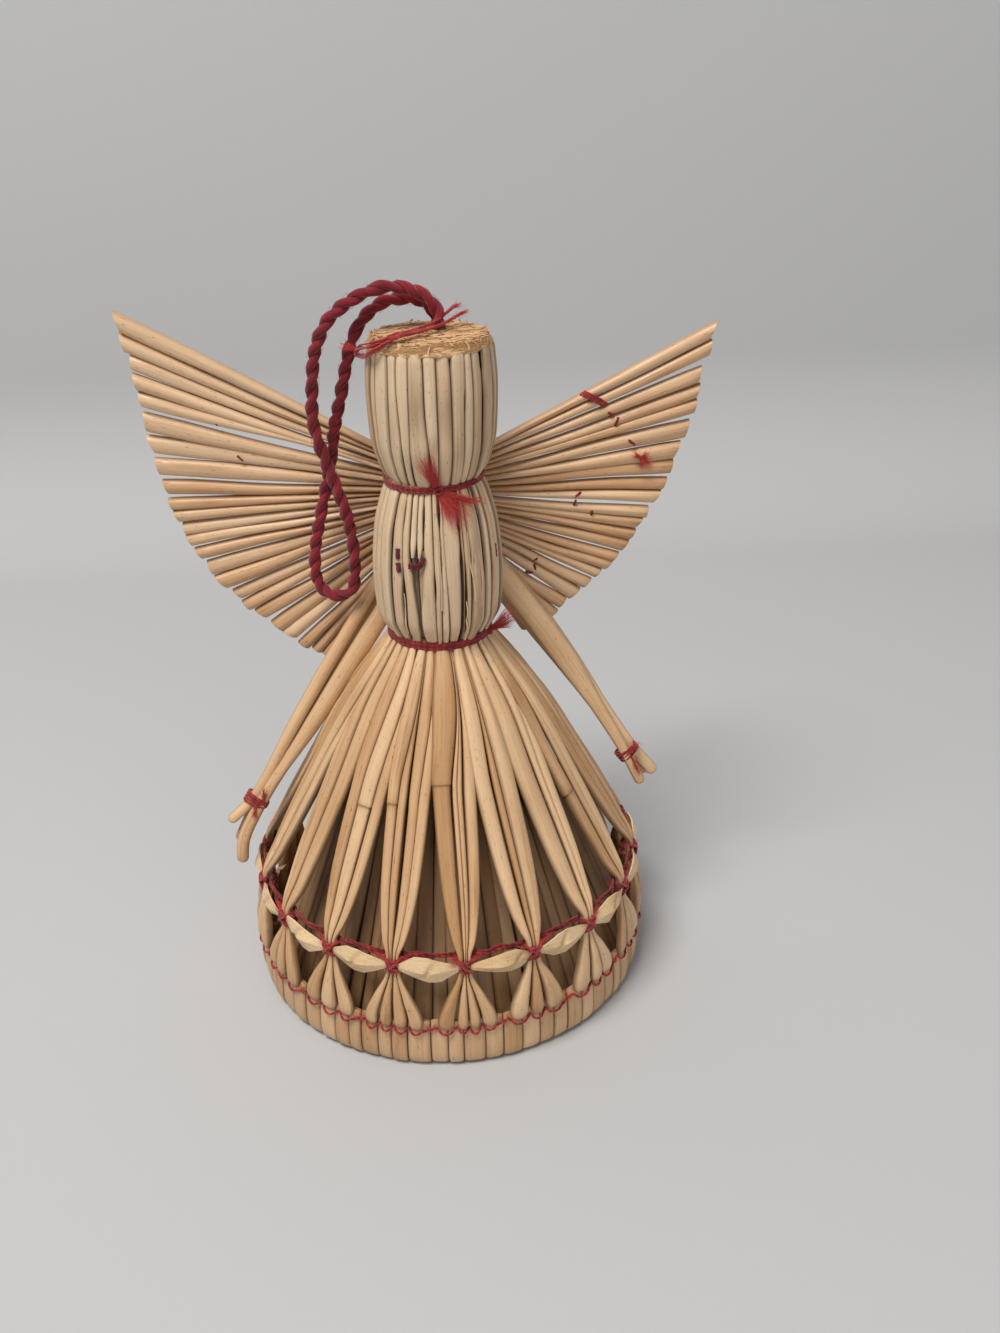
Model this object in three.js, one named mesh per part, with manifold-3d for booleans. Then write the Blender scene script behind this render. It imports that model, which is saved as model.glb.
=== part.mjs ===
// Straw angel: a wheat-straw figure bound and sewn with red thread, with a twisted cord to hang it.
// Millimetres, +Z up. It stands on its hem ring, the origin is the centre of the ring's underside,
// and the figure faces -Y.

import * as THREE from "three";
import { mergeVertices } from "three/addons/utils/BufferGeometryUtils.js";
import Module from "manifold-3d";

// Driving dimensions.
const HEIGHT = 130; // hem to the cut top of the head
const LEAN_X = 0.012; // the upper figure leans a little to its left, and forward
const LEAN_Y = -0.004;
const GAP = 0.3; // between neighbouring pieces that touch

const GROUPS = 18; // gathered groups of straws round the skirt
const FIRST_GROUP = 2.7; // degrees from the front to the first group
const GROUP_STRAWS = 4; // straws side by side in a group
const HEM_RADIUS = 40.4;
const HEM_STITCH_HEIGHT = 8.9;
const GATHER_RADIUS = 38.9; // outside of a group where it is gathered
const GATHER_HEIGHT = 22.9;
const GATHER_PINCH = 1.25; // half the width of a group at its pinch
const SKIRT_WALL = 2.3; // one layer of straw
const LINING_WALL = 1.8;
const LINING_STRAWS = 1; // a broad flat one behind each group
const LINING_GAP = 1.3 * GAP;
const BAND_TALL = 2.5; // half the height of the woven ribbon between two pinches
const BAND_NARROW = 0.9; // and behind a pinch
const BAND_BEND = 5.2; // from a pinch to the ribbon's full height
const WAIST_HEIGHT = 74.6;
const WAIST_RADIUS = 9.4;
const BUNDLE_CORE = 1.8; // inner ends of the group wedges at the waist

const BODY_STRAWS = 23;
const NECK_HEIGHT = 104.7;
const NECK_RADIUS = 8.7;
const TORSO_RADIUS = 12.0;
const HEAD_RADIUS = 11.6;
const STUB_RADIUS = 10.4;
const STUB_HEIGHT = 0.7; // rough cut ends that stand above the head's rounded rim

const WING_STRAWS = 24;
const WING_DEPTH = 14.1; // centre plane of the wings, behind the torso
const WING_HUB_HEIGHT = 95.6;
const WING_HUB_BAND = 8.8; // height of the squeezed roots at the middle
const WING_STRAW_RADIUS = 1.35;

const ARM_STRAW_RADIUS = 1.65;
const WRIST_TIE_RADIUS = 2.6;

const THREAD = 0.7; // sewing thread
const TIE_HEIGHT = 1.7; // waist and neck ties, several turns of thread
const TIE_DEPTH = 1.1;
const CORD = 2.4; // hanging cord

// Hanging cord's route, from its foot in the head's top, round the loop and back.
const CORD_ROUTE = [
  [3.3, 2.0, 130.3], [3.3, 2.0, 132.6], [2.2, 2.0, 134.8], [-0.6, 2.0, 136.7],
  [-5.5, 2.0, 137.5], [-11.2, 2.2, 135.6], [-15.9, 2.8, 131.9], [-18.4, 3.4, 127.0],
  [-19.6, 4.0, 120.2], [-20.0, 4.5, 113.5], [-18.8, 4.9, 107.4], [-16.8, 5.0, 100.7],
  [-15.3, 5.0, 94.7], [-14.7, 5.1, 88.4], [-15.0, 5.4, 82.6], [-15.5, 5.6, 80.5],
  [-16.9, 6.2, 79.0], [-18.8, 6.9, 78.5], [-20.7, 7.6, 79.0], [-22.1, 8.2, 80.5],
  [-22.6, 8.4, 82.6], [-22.2, 8.6, 88.0], [-20.9, 8.6, 93.6], [-19.1, 8.4, 100.1],
  [-17.5, 7.9, 106.4], [-16.4, 7.2, 112.2], [-14.9, 6.4, 117.6], [-13.3, 5.7, 123.8],
  [-11.5, 5.2, 129.0], [-8.8, 5.0, 132.6], [-5.4, 5.0, 134.6], [-1.5, 5.0, 134.9],
  [0.3, 5.0, 134.5], [1.8, 5.0, 133.6], [2.8, 5.0, 132.1], [3.1, 5.0, 130.3],
];
const CORD_STEPS = 38;

const wasm = await Module();
wasm.setup();

const STRAW = { color: 0xc6a374, roughness: 0.45 };
const PALE_STRAW = { color: 0xcdb791, roughness: 0.42 };
const BAND_STRAW = { color: 0xe0c291, roughness: 0.4 };
const RED_THREAD = { color: 0xa0282b, roughness: 0.85 };
const DARK_CORD = { color: 0x6e1420, roughness: 0.9 };

const group = new THREE.Group();

// Every piece but the cord follows the figure's lean: what is higher is shifted further.
function addPiece(name, geometry, look, leans = true) {
  if (leans) {
    const place = geometry.attributes.position;
    for (let i = 0; i < place.count; i += 1) {
      place.setX(i, place.getX(i) + LEAN_X * place.getZ(i));
      place.setY(i, place.getY(i) + LEAN_Y * place.getZ(i));
    }
  }
  geometry.computeVertexNormals();
  const mesh = new THREE.Mesh(geometry, new THREE.MeshStandardMaterial({ ...look, metalness: 0 }));
  mesh.name = name;
  group.add(mesh);
}

// Repeatable small differences between handmade straws, from -1 to 1.
function vary(seed) {
  const wave = Math.sin(seed * 12.9898 + 4.1414) * 43758.5453;
  return 2 * (wave - Math.floor(wave)) - 1;
}

// A point at a radius and an angle from the front, towards +X.
function polar(radius, angle, z) {
  return new THREE.Vector3(radius * Math.sin(angle), -radius * Math.cos(angle), z);
}

function radians(degrees) {
  return THREE.MathUtils.degToRad(degrees);
}

// Triangles that close a flat ring of points, turning the way the ring turns.
function capTriangles(ring) {
  const normal = new THREE.Vector3();
  ring.forEach((point, i) => {
    normal.add(new THREE.Vector3().crossVectors(point, ring[(i + 1) % ring.length]));
  });
  normal.normalize();
  const aside = Math.abs(normal.z) < 0.9 ? new THREE.Vector3(0, 0, 1) : new THREE.Vector3(1, 0, 0);
  const across = new THREE.Vector3().crossVectors(aside, normal).normalize();
  const up = new THREE.Vector3().crossVectors(normal, across);
  const flat = ring.map((point) => new THREE.Vector2(point.dot(across), point.dot(up)));
  return THREE.ShapeUtils.triangulateShape(flat, []).map(([a, b, c]) => {
    const turn = (flat[b].x - flat[a].x) * (flat[c].y - flat[a].y);
    const back = (flat[b].y - flat[a].y) * (flat[c].x - flat[a].x);
    return turn > back ? [a, b, c] : [a, c, b];
  });
}

// A closed skin over a row of rings. The rings have equally many points and turn anticlockwise as
// seen from the end that the row runs to. A looped row joins its last ring to its first.
function loft(rings, looped = false) {
  const size = rings[0].length;
  const faces = [];
  const spans = looped ? rings.length : rings.length - 1;
  for (let i = 0; i < spans; i += 1) {
    const here = i * size;
    const next = ((i + 1) % rings.length) * size;
    for (let j = 0; j < size; j += 1) {
      const k = (j + 1) % size;
      faces.push(here + j, here + k, next + k);
      faces.push(here + j, next + k, next + j);
    }
  }
  if (!looped) {
    const last = (rings.length - 1) * size;
    capTriangles(rings[0]).forEach(([a, b, c]) => faces.push(a, c, b));
    capTriangles(rings[rings.length - 1]).forEach(([a, b, c]) => faces.push(last + a, last + b, last + c));
  }
  const geometry = new THREE.BufferGeometry();
  const places = rings.flat().flatMap((point) => point.toArray());
  geometry.setAttribute("position", new THREE.Float32BufferAttribute(places, 3));
  geometry.setIndex(faces);
  return geometry;
}

function toSolid(geometry) {
  const bare = geometry.clone();
  bare.deleteAttribute("normal");
  bare.deleteAttribute("uv");
  const welded = mergeVertices(bare, 1e-4);
  return new wasm.Manifold(new wasm.Mesh({
    numProp: 3,
    vertProperties: new Float32Array(welded.attributes.position.array),
    triVerts: new Uint32Array(welded.index.array),
  }));
}

// One solid from several that run into each other.
function join(geometries) {
  const whole = geometries.map(toSolid).reduce((sum, solid) => sum.add(solid));
  const mesh = whole.getMesh();
  const geometry = new THREE.BufferGeometry();
  geometry.setAttribute("position", new THREE.Float32BufferAttribute(mesh.vertProperties, 3));
  geometry.setIndex(Array.from(mesh.triVerts));
  return geometry;
}

// A ring of points round a place, square to a direction: size[0] along `side`, size[1] across it.
function sectionRing(place, direction, side, size, corners) {
  const along = direction.clone().normalize();
  const right = side.clone().addScaledVector(along, -side.dot(along)).normalize();
  const up = new THREE.Vector3().crossVectors(along, right);
  return Array.from({ length: corners }, (_, i) => {
    const turn = (2 * Math.PI * (i + 0.5)) / corners;
    return place.clone()
      .addScaledVector(right, size[0] * Math.cos(turn))
      .addScaledVector(up, size[1] * Math.sin(turn));
  });
}

// A thread or tie that closes on itself. Each stop gives a place and half sizes: [out, up].
function threadLoop(stops, corners) {
  const centre = new THREE.Vector3();
  stops.forEach((stop) => centre.addScaledVector(stop.place, 1 / stops.length));
  const rings = stops.map((stop, i) => {
    const before = stops[(i + stops.length - 1) % stops.length].place;
    const after = stops[(i + 1) % stops.length].place;
    const direction = after.clone().sub(before);
    return sectionRing(stop.place, direction, stop.place.clone().sub(centre), stop.size, corners);
  });
  return loft(rings, true);
}

// Head and torso: one bundle of straws, bound at the neck and the waist, with a rough cut top.
function bodyGeometry() {
  const shoulder = HEIGHT - STUB_HEIGHT;
  const outline = [
    { z: WAIST_HEIGHT + GAP / 2, radius: WAIST_RADIUS, flute: 0.25 },
    { z: WAIST_HEIGHT + 1.2, radius: WAIST_RADIUS + 0.6, flute: 0.45 },
    { z: 79.5, radius: TORSO_RADIUS - 0.4, flute: 0.6 },
    { z: 87, radius: TORSO_RADIUS, flute: 0.6 },
    { z: 95.5, radius: TORSO_RADIUS - 0.7, flute: 0.55 },
    { z: NECK_HEIGHT - 2.4, radius: NECK_RADIUS + 0.9, flute: 0.45 },
    { z: NECK_HEIGHT, radius: NECK_RADIUS, flute: 0.3 },
    { z: NECK_HEIGHT + 2.6, radius: NECK_RADIUS + 1.2, flute: 0.45 },
    { z: 113, radius: HEAD_RADIUS - 0.3, flute: 0.6 },
    { z: 121, radius: HEAD_RADIUS, flute: 0.6 },
    { z: shoulder - 2, radius: HEAD_RADIUS - 0.4, flute: 0.5 },
    { z: shoulder, radius: STUB_RADIUS + 0.3, flute: 0.3 },
    { z: HEIGHT, radius: STUB_RADIUS - 0.3, flute: 0.3 },
  ];
  const rings = outline.map(({ z, radius, flute }) => {
    const ring = [];
    for (let i = 0; i < BODY_STRAWS; i += 1) {
      const step = (2 * Math.PI) / BODY_STRAWS;
      const seam = (i + 0.16 * vary(i)) * step;
      const crest = (i + 0.5 + 0.1 * vary(i + 40)) * step;
      ring.push(polar(radius - flute, seam, z));
      ring.push(polar(radius, crest, z));
    }
    return ring;
  });
  return loft(rings);
}

// Slices of a skirt group, from the hem up: outer and inner radius, half width and flute depth.
// Without a half width the slice fills its share of the circle, less the gap to its neighbours.
function groupSlices() {
  const upper = GATHER_HEIGHT + 1.4;
  const lower = GATHER_HEIGHT - 1.5;
  const wall = SKIRT_WALL;
  return [
    { z: 0, out: HEM_RADIUS - 1.4, inner: HEM_RADIUS - 3.6, flute: 0.2 },
    { z: 1.3, out: HEM_RADIUS, inner: HEM_RADIUS - 4.0, flute: 0.3 },
    { z: HEM_STITCH_HEIGHT, out: HEM_RADIUS - 0.3, inner: HEM_RADIUS - 3.0, flute: 0.35 },
    { z: HEM_STITCH_HEIGHT + 1.8, out: HEM_RADIUS + 0.5, inner: HEM_RADIUS - 2.6, flute: 0.9 },
    { z: lower, out: GATHER_RADIUS, inner: GATHER_RADIUS - 2, half: GATHER_PINCH, flute: 0.3 },
    { z: upper, out: GATHER_RADIUS - 0.1, inner: GATHER_RADIUS - 2.1, half: GATHER_PINCH, flute: 0.3 },
    { z: 30.5, out: 35.6, inner: 35.6 - wall, half: 2.9, flute: 0.7 },
    { z: 45, out: 27.7, inner: 27.7 - wall, half: 4.0, flute: 0.8 },
    { z: 62, out: 18.1, inner: 18.1 - wall, flute: 0.5 },
    { z: 70.6, out: 11, inner: 6, flute: 0.4 },
    { z: WAIST_HEIGHT - GAP / 2, out: WAIST_RADIUS, inner: BUNDLE_CORE, flute: 0.25 },
  ];
}

// Half the angle that a strip takes at a radius: its own half width, or its share of the circle.
function halfAngle(radius, half, gap) {
  const share = Math.PI / GROUPS - gap / 2 / radius;
  return half === undefined ? share : Math.min(half / radius, share);
}

// One slice: the outer edge has a crest for each straw, and the inner edge is straight.
function stripRing({ z, out, inner, half, flute, gap = GAP }, middle, straws, seed) {
  const ring = [];
  const reach = halfAngle(out, half, gap);
  for (let i = 0; i <= straws; i += 1) {
    const uneven = i > 0 && i < straws ? 0.3 * vary(seed + i) : 0;
    const seam = -1 + (2 * (i + uneven)) / straws;
    ring.push(polar(out - flute, middle + seam * reach, z));
    if (i < straws) {
      const crest = -1 + (2 * (i + 0.5)) / straws;
      ring.push(polar(out, middle + crest * reach, z));
    }
  }
  const back = halfAngle(inner, half, gap);
  ring.push(polar(inner, middle + back, z));
  ring.push(polar(inner, middle - back, z));
  return ring;
}

// A group of skirt straws, pinched by the gather thread, with its folded hem and the straight
// lining straws behind it. They meet at the waist and in the hem.
function skirtGroupGeometry(index, middle) {
  const outer = loft(groupSlices().map((slice) => stripRing(slice, middle, GROUP_STRAWS, index * 7)));
  const foot = HEM_RADIUS - 1.5;
  const top = 11.2;
  const lining = [
    { z: 2.5, out: foot, inner: foot - LINING_WALL, flute: 0.5, gap: LINING_GAP },
    { z: 68.5, out: top, inner: top - LINING_WALL, flute: 0.3, gap: LINING_GAP },
  ];
  const straight = loft(lining.map((slice) => stripRing(slice, middle, LINING_STRAWS, index * 7 + 3)));
  return join([outer, straight]);
}

// Flat ribbon of paler straw: behind each pinch, and bowed out to a diamond between pinches.
function wovenBandGeometry() {
  const stops = [];
  const share = (2 * Math.PI) / GROUPS;
  const behind = GATHER_RADIUS - 3.1;
  const bowed = GATHER_RADIUS - 0.4;
  const height = GATHER_HEIGHT - 0.3;
  const narrow = [0.45, BAND_NARROW];
  const tall = [0.7, BAND_TALL];
  for (let i = 0; i < GROUPS; i += 1) {
    const middle = radians(FIRST_GROUP) + i * share;
    const hidden = 1.7 / behind;
    const bend = BAND_BEND / bowed;
    stops.push({ place: polar(behind, middle - hidden, height), size: narrow });
    stops.push({ place: polar(behind, middle + hidden, height), size: narrow });
    stops.push({ place: polar(bowed, middle + bend, height), size: tall });
    stops.push({ place: polar(bowed, middle + share - bend, height), size: tall });
  }
  return threadLoop(stops, 4);
}

// Thread that gathers the groups: over the front of each pinch, and behind the band between them.
function gatherThreadGeometry() {
  const stops = [];
  const over = GATHER_RADIUS + GAP + 0.55;
  const behind = GATHER_RADIUS - 1.6;
  const height = GATHER_HEIGHT + 2.6;
  const front = 1.2 / over; // half the stitch over a group
  const side = 3.5 / behind;
  const stitch = [0.55, 1.9];
  const run = [0.45, 0.45];
  for (let i = 0; i < GROUPS; i += 1) {
    const middle = radians(FIRST_GROUP) + (i * 2 * Math.PI) / GROUPS;
    stops.push({ place: polar(behind, middle - side, height), size: run });
    stops.push({ place: polar(over, middle - front, GATHER_HEIGHT), size: stitch });
    stops.push({ place: polar(over, middle + front, GATHER_HEIGHT), size: stitch });
    stops.push({ place: polar(behind, middle + side, height), size: run });
  }
  return threadLoop(stops, 3);
}

// A round tie of a few turns of thread.
function tieStops(radius, height, size, count) {
  return Array.from({ length: count }, (_, i) => ({
    place: polar(radius, (i * 2 * Math.PI) / count, height),
    size,
  }));
}

// A tied knot with its two frayed ends, each a short flat brush of fibres.
function knotWithEnds(place, ends) {
  const size = 1.25;
  const knot = new THREE.IcosahedronGeometry(size, 0).translate(place.x, place.y, place.z);
  const brushes = ends.map((end) => {
    const direction = end.clone().sub(place);
    const out = new THREE.Vector3(place.x, place.y, 0);
    return loft([
      sectionRing(place, direction, out, [0.4, 0.5], 4),
      sectionRing(place.clone().lerp(end, 0.5), direction, out, [0.4, 1.1], 4),
      sectionRing(end, direction, out, [0.3, 1.9], 4),
    ]);
  });
  return [knot, ...brushes];
}

// A fan of straws, squeezed together at the middle of the back. The outline gives a straw's angle
// above the level and its length, at evenly spaced places from the top straw to the bottom one.
function wingGeometry(side, outline) {
  const stations = outline.map(([angle, reach]) => new THREE.Vector3(radians(angle), reach, 0));
  const spread = new THREE.CatmullRomCurve3(stations);
  const middle = LEAN_X * WING_HUB_HEIGHT;
  const ends = (row, depth) => {
    const { x: turn, y: reach } = spread.getPoint(row);
    const height = WING_HUB_HEIGHT + WING_HUB_BAND * (0.5 - row);
    const root = new THREE.Vector3(middle + (side * GAP) / 2, WING_DEPTH + depth, height);
    const direction = new THREE.Vector3(side * Math.cos(turn), 0, Math.sin(turn));
    return [root, root.clone().addScaledVector(direction, reach)];
  };
  const near = [];
  const far = [];
  for (let i = 0; i <= 2 * WING_STRAWS; i += 1) {
    const depth = i % 2 ? WING_STRAW_RADIUS : 0.35 * WING_STRAW_RADIUS;
    const row = i / (2 * WING_STRAWS);
    near.push(ends(row, -depth));
    far.unshift(ends(row, depth));
  }
  const edge = [...near, ...far];
  const rings = [0, 1].map((end) => edge.map((pair) => pair[end]));
  return loft(side < 0 ? rings.reverse() : rings);
}

// An arm: two straws side by side and one behind, from between torso and wing to the wrist, where
// they are tied, and splayed into fingers past it.
function armGeometry(shoulder, wrist, tips) {
  const along = wrist.clone().sub(shoulder);
  const back = new THREE.Vector3(0, 1, 0);
  const across = new THREE.Vector3().crossVectors(along, back).normalize();
  const beside = (place, i, spread, depth) => place.clone()
    .addScaledVector(across, (i - 1) * spread)
    .addScaledVector(back, i === 1 ? depth : 0);
  const sides = 6;
  const nested = 1.1; // how far behind the pair the third straw lies
  const round = [ARM_STRAW_RADIUS, ARM_STRAW_RADIUS * 0.75];
  const tied = [1.05, 0.95];
  const fingertip = [1.35, 0.9];
  const straws = tips.map((tip, i) => {
    const start = beside(shoulder, i, ARM_STRAW_RADIUS - 0.05, nested);
    const middle = beside(shoulder.clone().lerp(wrist, 0.6), i, ARM_STRAW_RADIUS - 0.1, nested);
    const pinch = beside(wrist, i, 0.85, 0.7);
    return loft([
      sectionRing(start, along, across, round, sides),
      sectionRing(middle, along, across, round, sides),
      sectionRing(pinch, along, across, tied, sides),
      sectionRing(tip, tip.clone().sub(pinch), across, fingertip, sides),
    ]);
  });
  return join(straws);
}

// A small tie round a bundle that runs in any direction.
function bandGeometry(place, direction, radius, size) {
  const across = new THREE.Vector3().crossVectors(direction, new THREE.Vector3(0, 1, 0)).normalize();
  const path = sectionRing(place, direction, across, [radius, radius], 8);
  return threadLoop(path.map((stop) => ({ place: stop, size })), 4);
}

// Tie that squeezes the straws of both wings at the middle of the back.
function wingTieGeometry() {
  const middle = LEAN_X * WING_HUB_HEIGHT;
  const reachY = WING_STRAW_RADIUS + GAP + 0.3;
  const reachZ = WING_HUB_BAND / 2 + GAP + 1.5;
  const corners = [[-1, -0.7], [-1, 0.7], [-0.5, 1], [0.5, 1], [1, 0.7], [1, -0.7], [0.5, -1], [-0.5, -1]];
  const stops = corners.map(([y, z]) => ({
    place: new THREE.Vector3(middle, WING_DEPTH + y * reachY, WING_HUB_HEIGHT + z * reachZ),
    size: [0.3, 1.1],
  }));
  return threadLoop(stops, 4);
}

// Double thread that ties the cord down: up the side of the head, over its rim and past the cord.
function crownThreadGeometry() {
  const route = new THREE.CatmullRomCurve3([
    new THREE.Vector3(-11.2, 0, 126.3),
    new THREE.Vector3(-7.6, -8.2, 129.2),
    new THREE.Vector3(-3.8, -7.6, 130.8),
    new THREE.Vector3(0, -4, 130.8),
    new THREE.Vector3(3.6, -0.2, 130.9),
    new THREE.Vector3(7.6, 3.5, 132.4),
  ]);
  const steps = 9;
  const up = new THREE.Vector3(0, 0, 1);
  const pair = [0.45, 0.7]; // two threads side by side
  const rings = Array.from({ length: steps + 1 }, (_, i) => {
    const place = route.getPoint(i / steps);
    return sectionRing(place, route.getTangent(i / steps), up, pair, 4);
  });
  return loft(rings);
}

// Cord: a plain round tube along its route.
function cordGeometry() {
  const route = new THREE.CatmullRomCurve3(CORD_ROUTE.map((stop) => new THREE.Vector3(...stop)));
  const section = new THREE.Shape();
  const sides = 8;
  for (let i = 0; i < sides; i += 1) {
    const turn = (i * 2 * Math.PI) / sides;
    const x = (CORD / 2) * Math.cos(turn);
    const y = (CORD / 2) * Math.sin(turn);
    if (i === 0) {
      section.moveTo(x, y);
    } else {
      section.lineTo(x, y);
    }
  }
  section.closePath();
  const settings = { steps: CORD_STEPS, extrudePath: route, bevelEnabled: false };
  return new THREE.ExtrudeGeometry(section, settings);
}

addPiece("straw_body", bodyGeometry(), PALE_STRAW);

for (let i = 0; i < GROUPS; i += 1) {
  const middle = radians(FIRST_GROUP) + (i * 2 * Math.PI) / GROUPS;
  const number = String(i + 1).padStart(2, "0");
  addPiece(`skirt_straws_${number}`, skirtGroupGeometry(i, middle), STRAW);
}

addPiece("woven_band", wovenBandGeometry(), BAND_STRAW);
addPiece("gather_thread", gatherThreadGeometry(), RED_THREAD);

const hemThreadRadius = HEM_RADIUS + GAP + THREAD / 2;
const hemThread = tieStops(hemThreadRadius, HEM_STITCH_HEIGHT - 0.2, [THREAD / 2, THREAD / 2], 30);
addPiece("hem_thread", threadLoop(hemThread, 4), RED_THREAD);

const tieSize = [TIE_DEPTH / 2, TIE_HEIGHT / 2];
const waistRing = threadLoop(tieStops(WAIST_RADIUS + 1.15, WAIST_HEIGHT, tieSize, 16), 5);
const waistKnot = polar(WAIST_RADIUS + 1.2, radians(66), WAIST_HEIGHT);
const waistEnds = [new THREE.Vector3(12.9, -5.2, 78.2), new THREE.Vector3(14, -4.2, 76.4)];
addPiece("waist_tie", join([waistRing, ...knotWithEnds(waistKnot, waistEnds)]), RED_THREAD);

const neckRing = threadLoop(tieStops(NECK_RADIUS + 0.95, NECK_HEIGHT, tieSize, 16), 5);
const neckKnot = polar(NECK_RADIUS + 1.3, radians(3), NECK_HEIGHT);
const neckEnds = [new THREE.Vector3(-1.5, -13.2, 111), new THREE.Vector3(6.5, -12.4, 101.6)];
addPiece("neck_tie", join([neckRing, ...knotWithEnds(neckKnot, neckEnds)]), RED_THREAD);

const leftWing = [
  [29.4, 63.8], [19.4, 56.8], [4.2, 52.1], [-6.8, 49.1], [-20.2, 45], [-36.1, 40.8], [-50.5, 37.7],
];
const rightWing = [
  [25.4, 59.3], [17.5, 54], [0.9, 46.1], [-10.9, 41.4], [-23, 37.6], [-37.1, 33.6], [-54, 31],
];
addPiece("wing_left", wingGeometry(-1, leftWing), STRAW, false);
addPiece("wing_right", wingGeometry(1, rightWing), STRAW, false);
addPiece("wing_tie", wingTieGeometry(), RED_THREAD, false);

// The arms come out between the torso and the wings. The left hand hangs a little lower and nearer.
const arms = [
  {
    name: "left",
    shoulder: new THREE.Vector3(-9, 9.4, 78.7),
    wrist: new THREE.Vector3(-38.2, -1.5, 37.4),
    tips: [[-43.4, -3.5, 34.7], [-42.8, -1.8, 28.6], [-42, -3.5, 24.9]],
  },
  {
    name: "right",
    shoulder: new THREE.Vector3(11.5, 9.6, 83.7),
    wrist: new THREE.Vector3(38.2, 3.5, 42),
    tips: [[41.3, 2.5, 34.5], [42.8, 4.6, 35.9], [44.5, 3.5, 36.3]],
  },
];
arms.forEach(({ name, shoulder, wrist, tips }) => {
  const ends = tips.map((tip) => new THREE.Vector3(...tip));
  addPiece(`arm_${name}`, armGeometry(shoulder, wrist, ends), STRAW, false);
  const along = wrist.clone().sub(shoulder);
  const tie = bandGeometry(wrist, along, WRIST_TIE_RADIUS, [0.35, 0.8]);
  addPiece(`wrist_tie_${name}`, tie, RED_THREAD, false);
});

addPiece("crown_thread", crownThreadGeometry(), RED_THREAD, false);
addPiece("hanging_cord", cordGeometry(), DARK_CORD, false);

export default group;
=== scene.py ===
"""Straw angel: the finish of every straw, ribbon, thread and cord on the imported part.

Lengths are millimetres, angles are degrees from the front towards +X, until a mesh is made in metres.
"""

import math

import bpy
import numpy as np
from mathutils import Matrix, Vector


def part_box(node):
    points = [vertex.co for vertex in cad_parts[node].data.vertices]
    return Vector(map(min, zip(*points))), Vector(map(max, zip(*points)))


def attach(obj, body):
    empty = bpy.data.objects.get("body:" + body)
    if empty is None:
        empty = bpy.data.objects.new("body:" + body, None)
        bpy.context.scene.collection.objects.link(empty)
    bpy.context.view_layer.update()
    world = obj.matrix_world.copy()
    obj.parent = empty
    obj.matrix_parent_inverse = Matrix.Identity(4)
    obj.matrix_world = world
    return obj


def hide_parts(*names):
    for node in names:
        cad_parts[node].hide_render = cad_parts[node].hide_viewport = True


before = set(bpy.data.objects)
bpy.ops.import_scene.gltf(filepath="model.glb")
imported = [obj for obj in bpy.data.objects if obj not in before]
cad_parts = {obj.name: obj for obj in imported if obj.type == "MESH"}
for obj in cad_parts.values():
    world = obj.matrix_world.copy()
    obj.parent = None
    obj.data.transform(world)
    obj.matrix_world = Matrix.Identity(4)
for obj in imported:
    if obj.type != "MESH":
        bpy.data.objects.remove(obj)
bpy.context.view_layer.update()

MM = 0.001
TURN = 2 * math.pi


def half_width_of(node):
    low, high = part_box(node)
    return (high.x - low.x) / 2 / MM


def middle_of(node):
    low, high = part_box(node)
    return np.array((low + high) / 2 / MM)


# Sizes that the frame gives, in millimetres.
GATHER_RADIUS = half_width_of("gather_thread") - 0.95  # outside of a gathered group
HEM_RADIUS = half_width_of("hem_thread") - 0.68
WING_DEPTH = middle_of("wing_left")[1]

LEAN = np.array([0.012, -0.004, 0.0])  # what is higher stands further over, for each mm of height
GROUPS = 18
FIRST_GROUP = 2.7
GATHER_HEIGHT = 22.9
WAIST_HEIGHT = 74.6
NECK_HEIGHT = 104.7
WING_HUB = np.array([1.15, WING_DEPTH, 95.6])
HUB_BAND = 8.8
TIE_THREAD = 0.27  # half the thickness of the sewing thread
LINING_FOOT, LINING_SLOPE = 37.9, 0.4194  # the lining's radius low down, and its loss for each mm of height
RIBBON_HEIGHT, RIBBON_HALF = 22.8, 2.65
HEAD_TOP = 129.75


# ---------------------------------------------------------------- geometry in millimetres


def smooth(low, high, x):
    t = np.clip((np.asarray(x, float) - low) / (high - low), 0, 1)
    return t * t * (3 - 2 * t)


def bell(x, middle, spread):
    return np.exp(-(((np.asarray(x, float) - middle) / spread) ** 2))


def curve(points, count=None, spacing=None):
    """Evenly spaced points on the smooth curve through the given ones."""
    points = np.asarray(points, float)
    padded = np.vstack([2 * points[0] - points[1], points, 2 * points[-1] - points[-2]])
    fine = []
    for a, b, c, d in zip(padded, padded[1:], padded[2:], padded[3:]):
        step_ab, step_bc, step_cd = (math.sqrt(max(np.linalg.norm(q - p), 1e-9)) for p,
                                     q in ((a, b), (b, c), (c, d)))
        leave = (b - a) / step_ab - (c - a) / (step_ab + step_bc) + (c - b) / step_bc
        arrive = (c - b) / step_bc - (d - b) / (step_bc + step_cd) + (d - c) / step_cd
        t = np.linspace(0, 1, 16, endpoint=False)[:, None]
        fine.append(
            (2 * t**3 - 3 * t**2 + 1) * b
            + (t**3 - 2 * t**2 + t) * leave * step_bc
            + (3 * t**2 - 2 * t**3) * c
            + (t**3 - t**2) * arrive * step_bc
        )
    fine = np.vstack(fine + [points[-1:]])
    run = np.concatenate([[0], np.cumsum(np.linalg.norm(np.diff(fine, axis=0), axis=1))])
    if count is None:
        count = max(2, int(round(run[-1] / spacing)) + 1)
    at = np.linspace(0, run[-1], count)
    return np.stack([np.interp(at, run, fine[:, k]) for k in range(points.shape[1])], 1)


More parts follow.
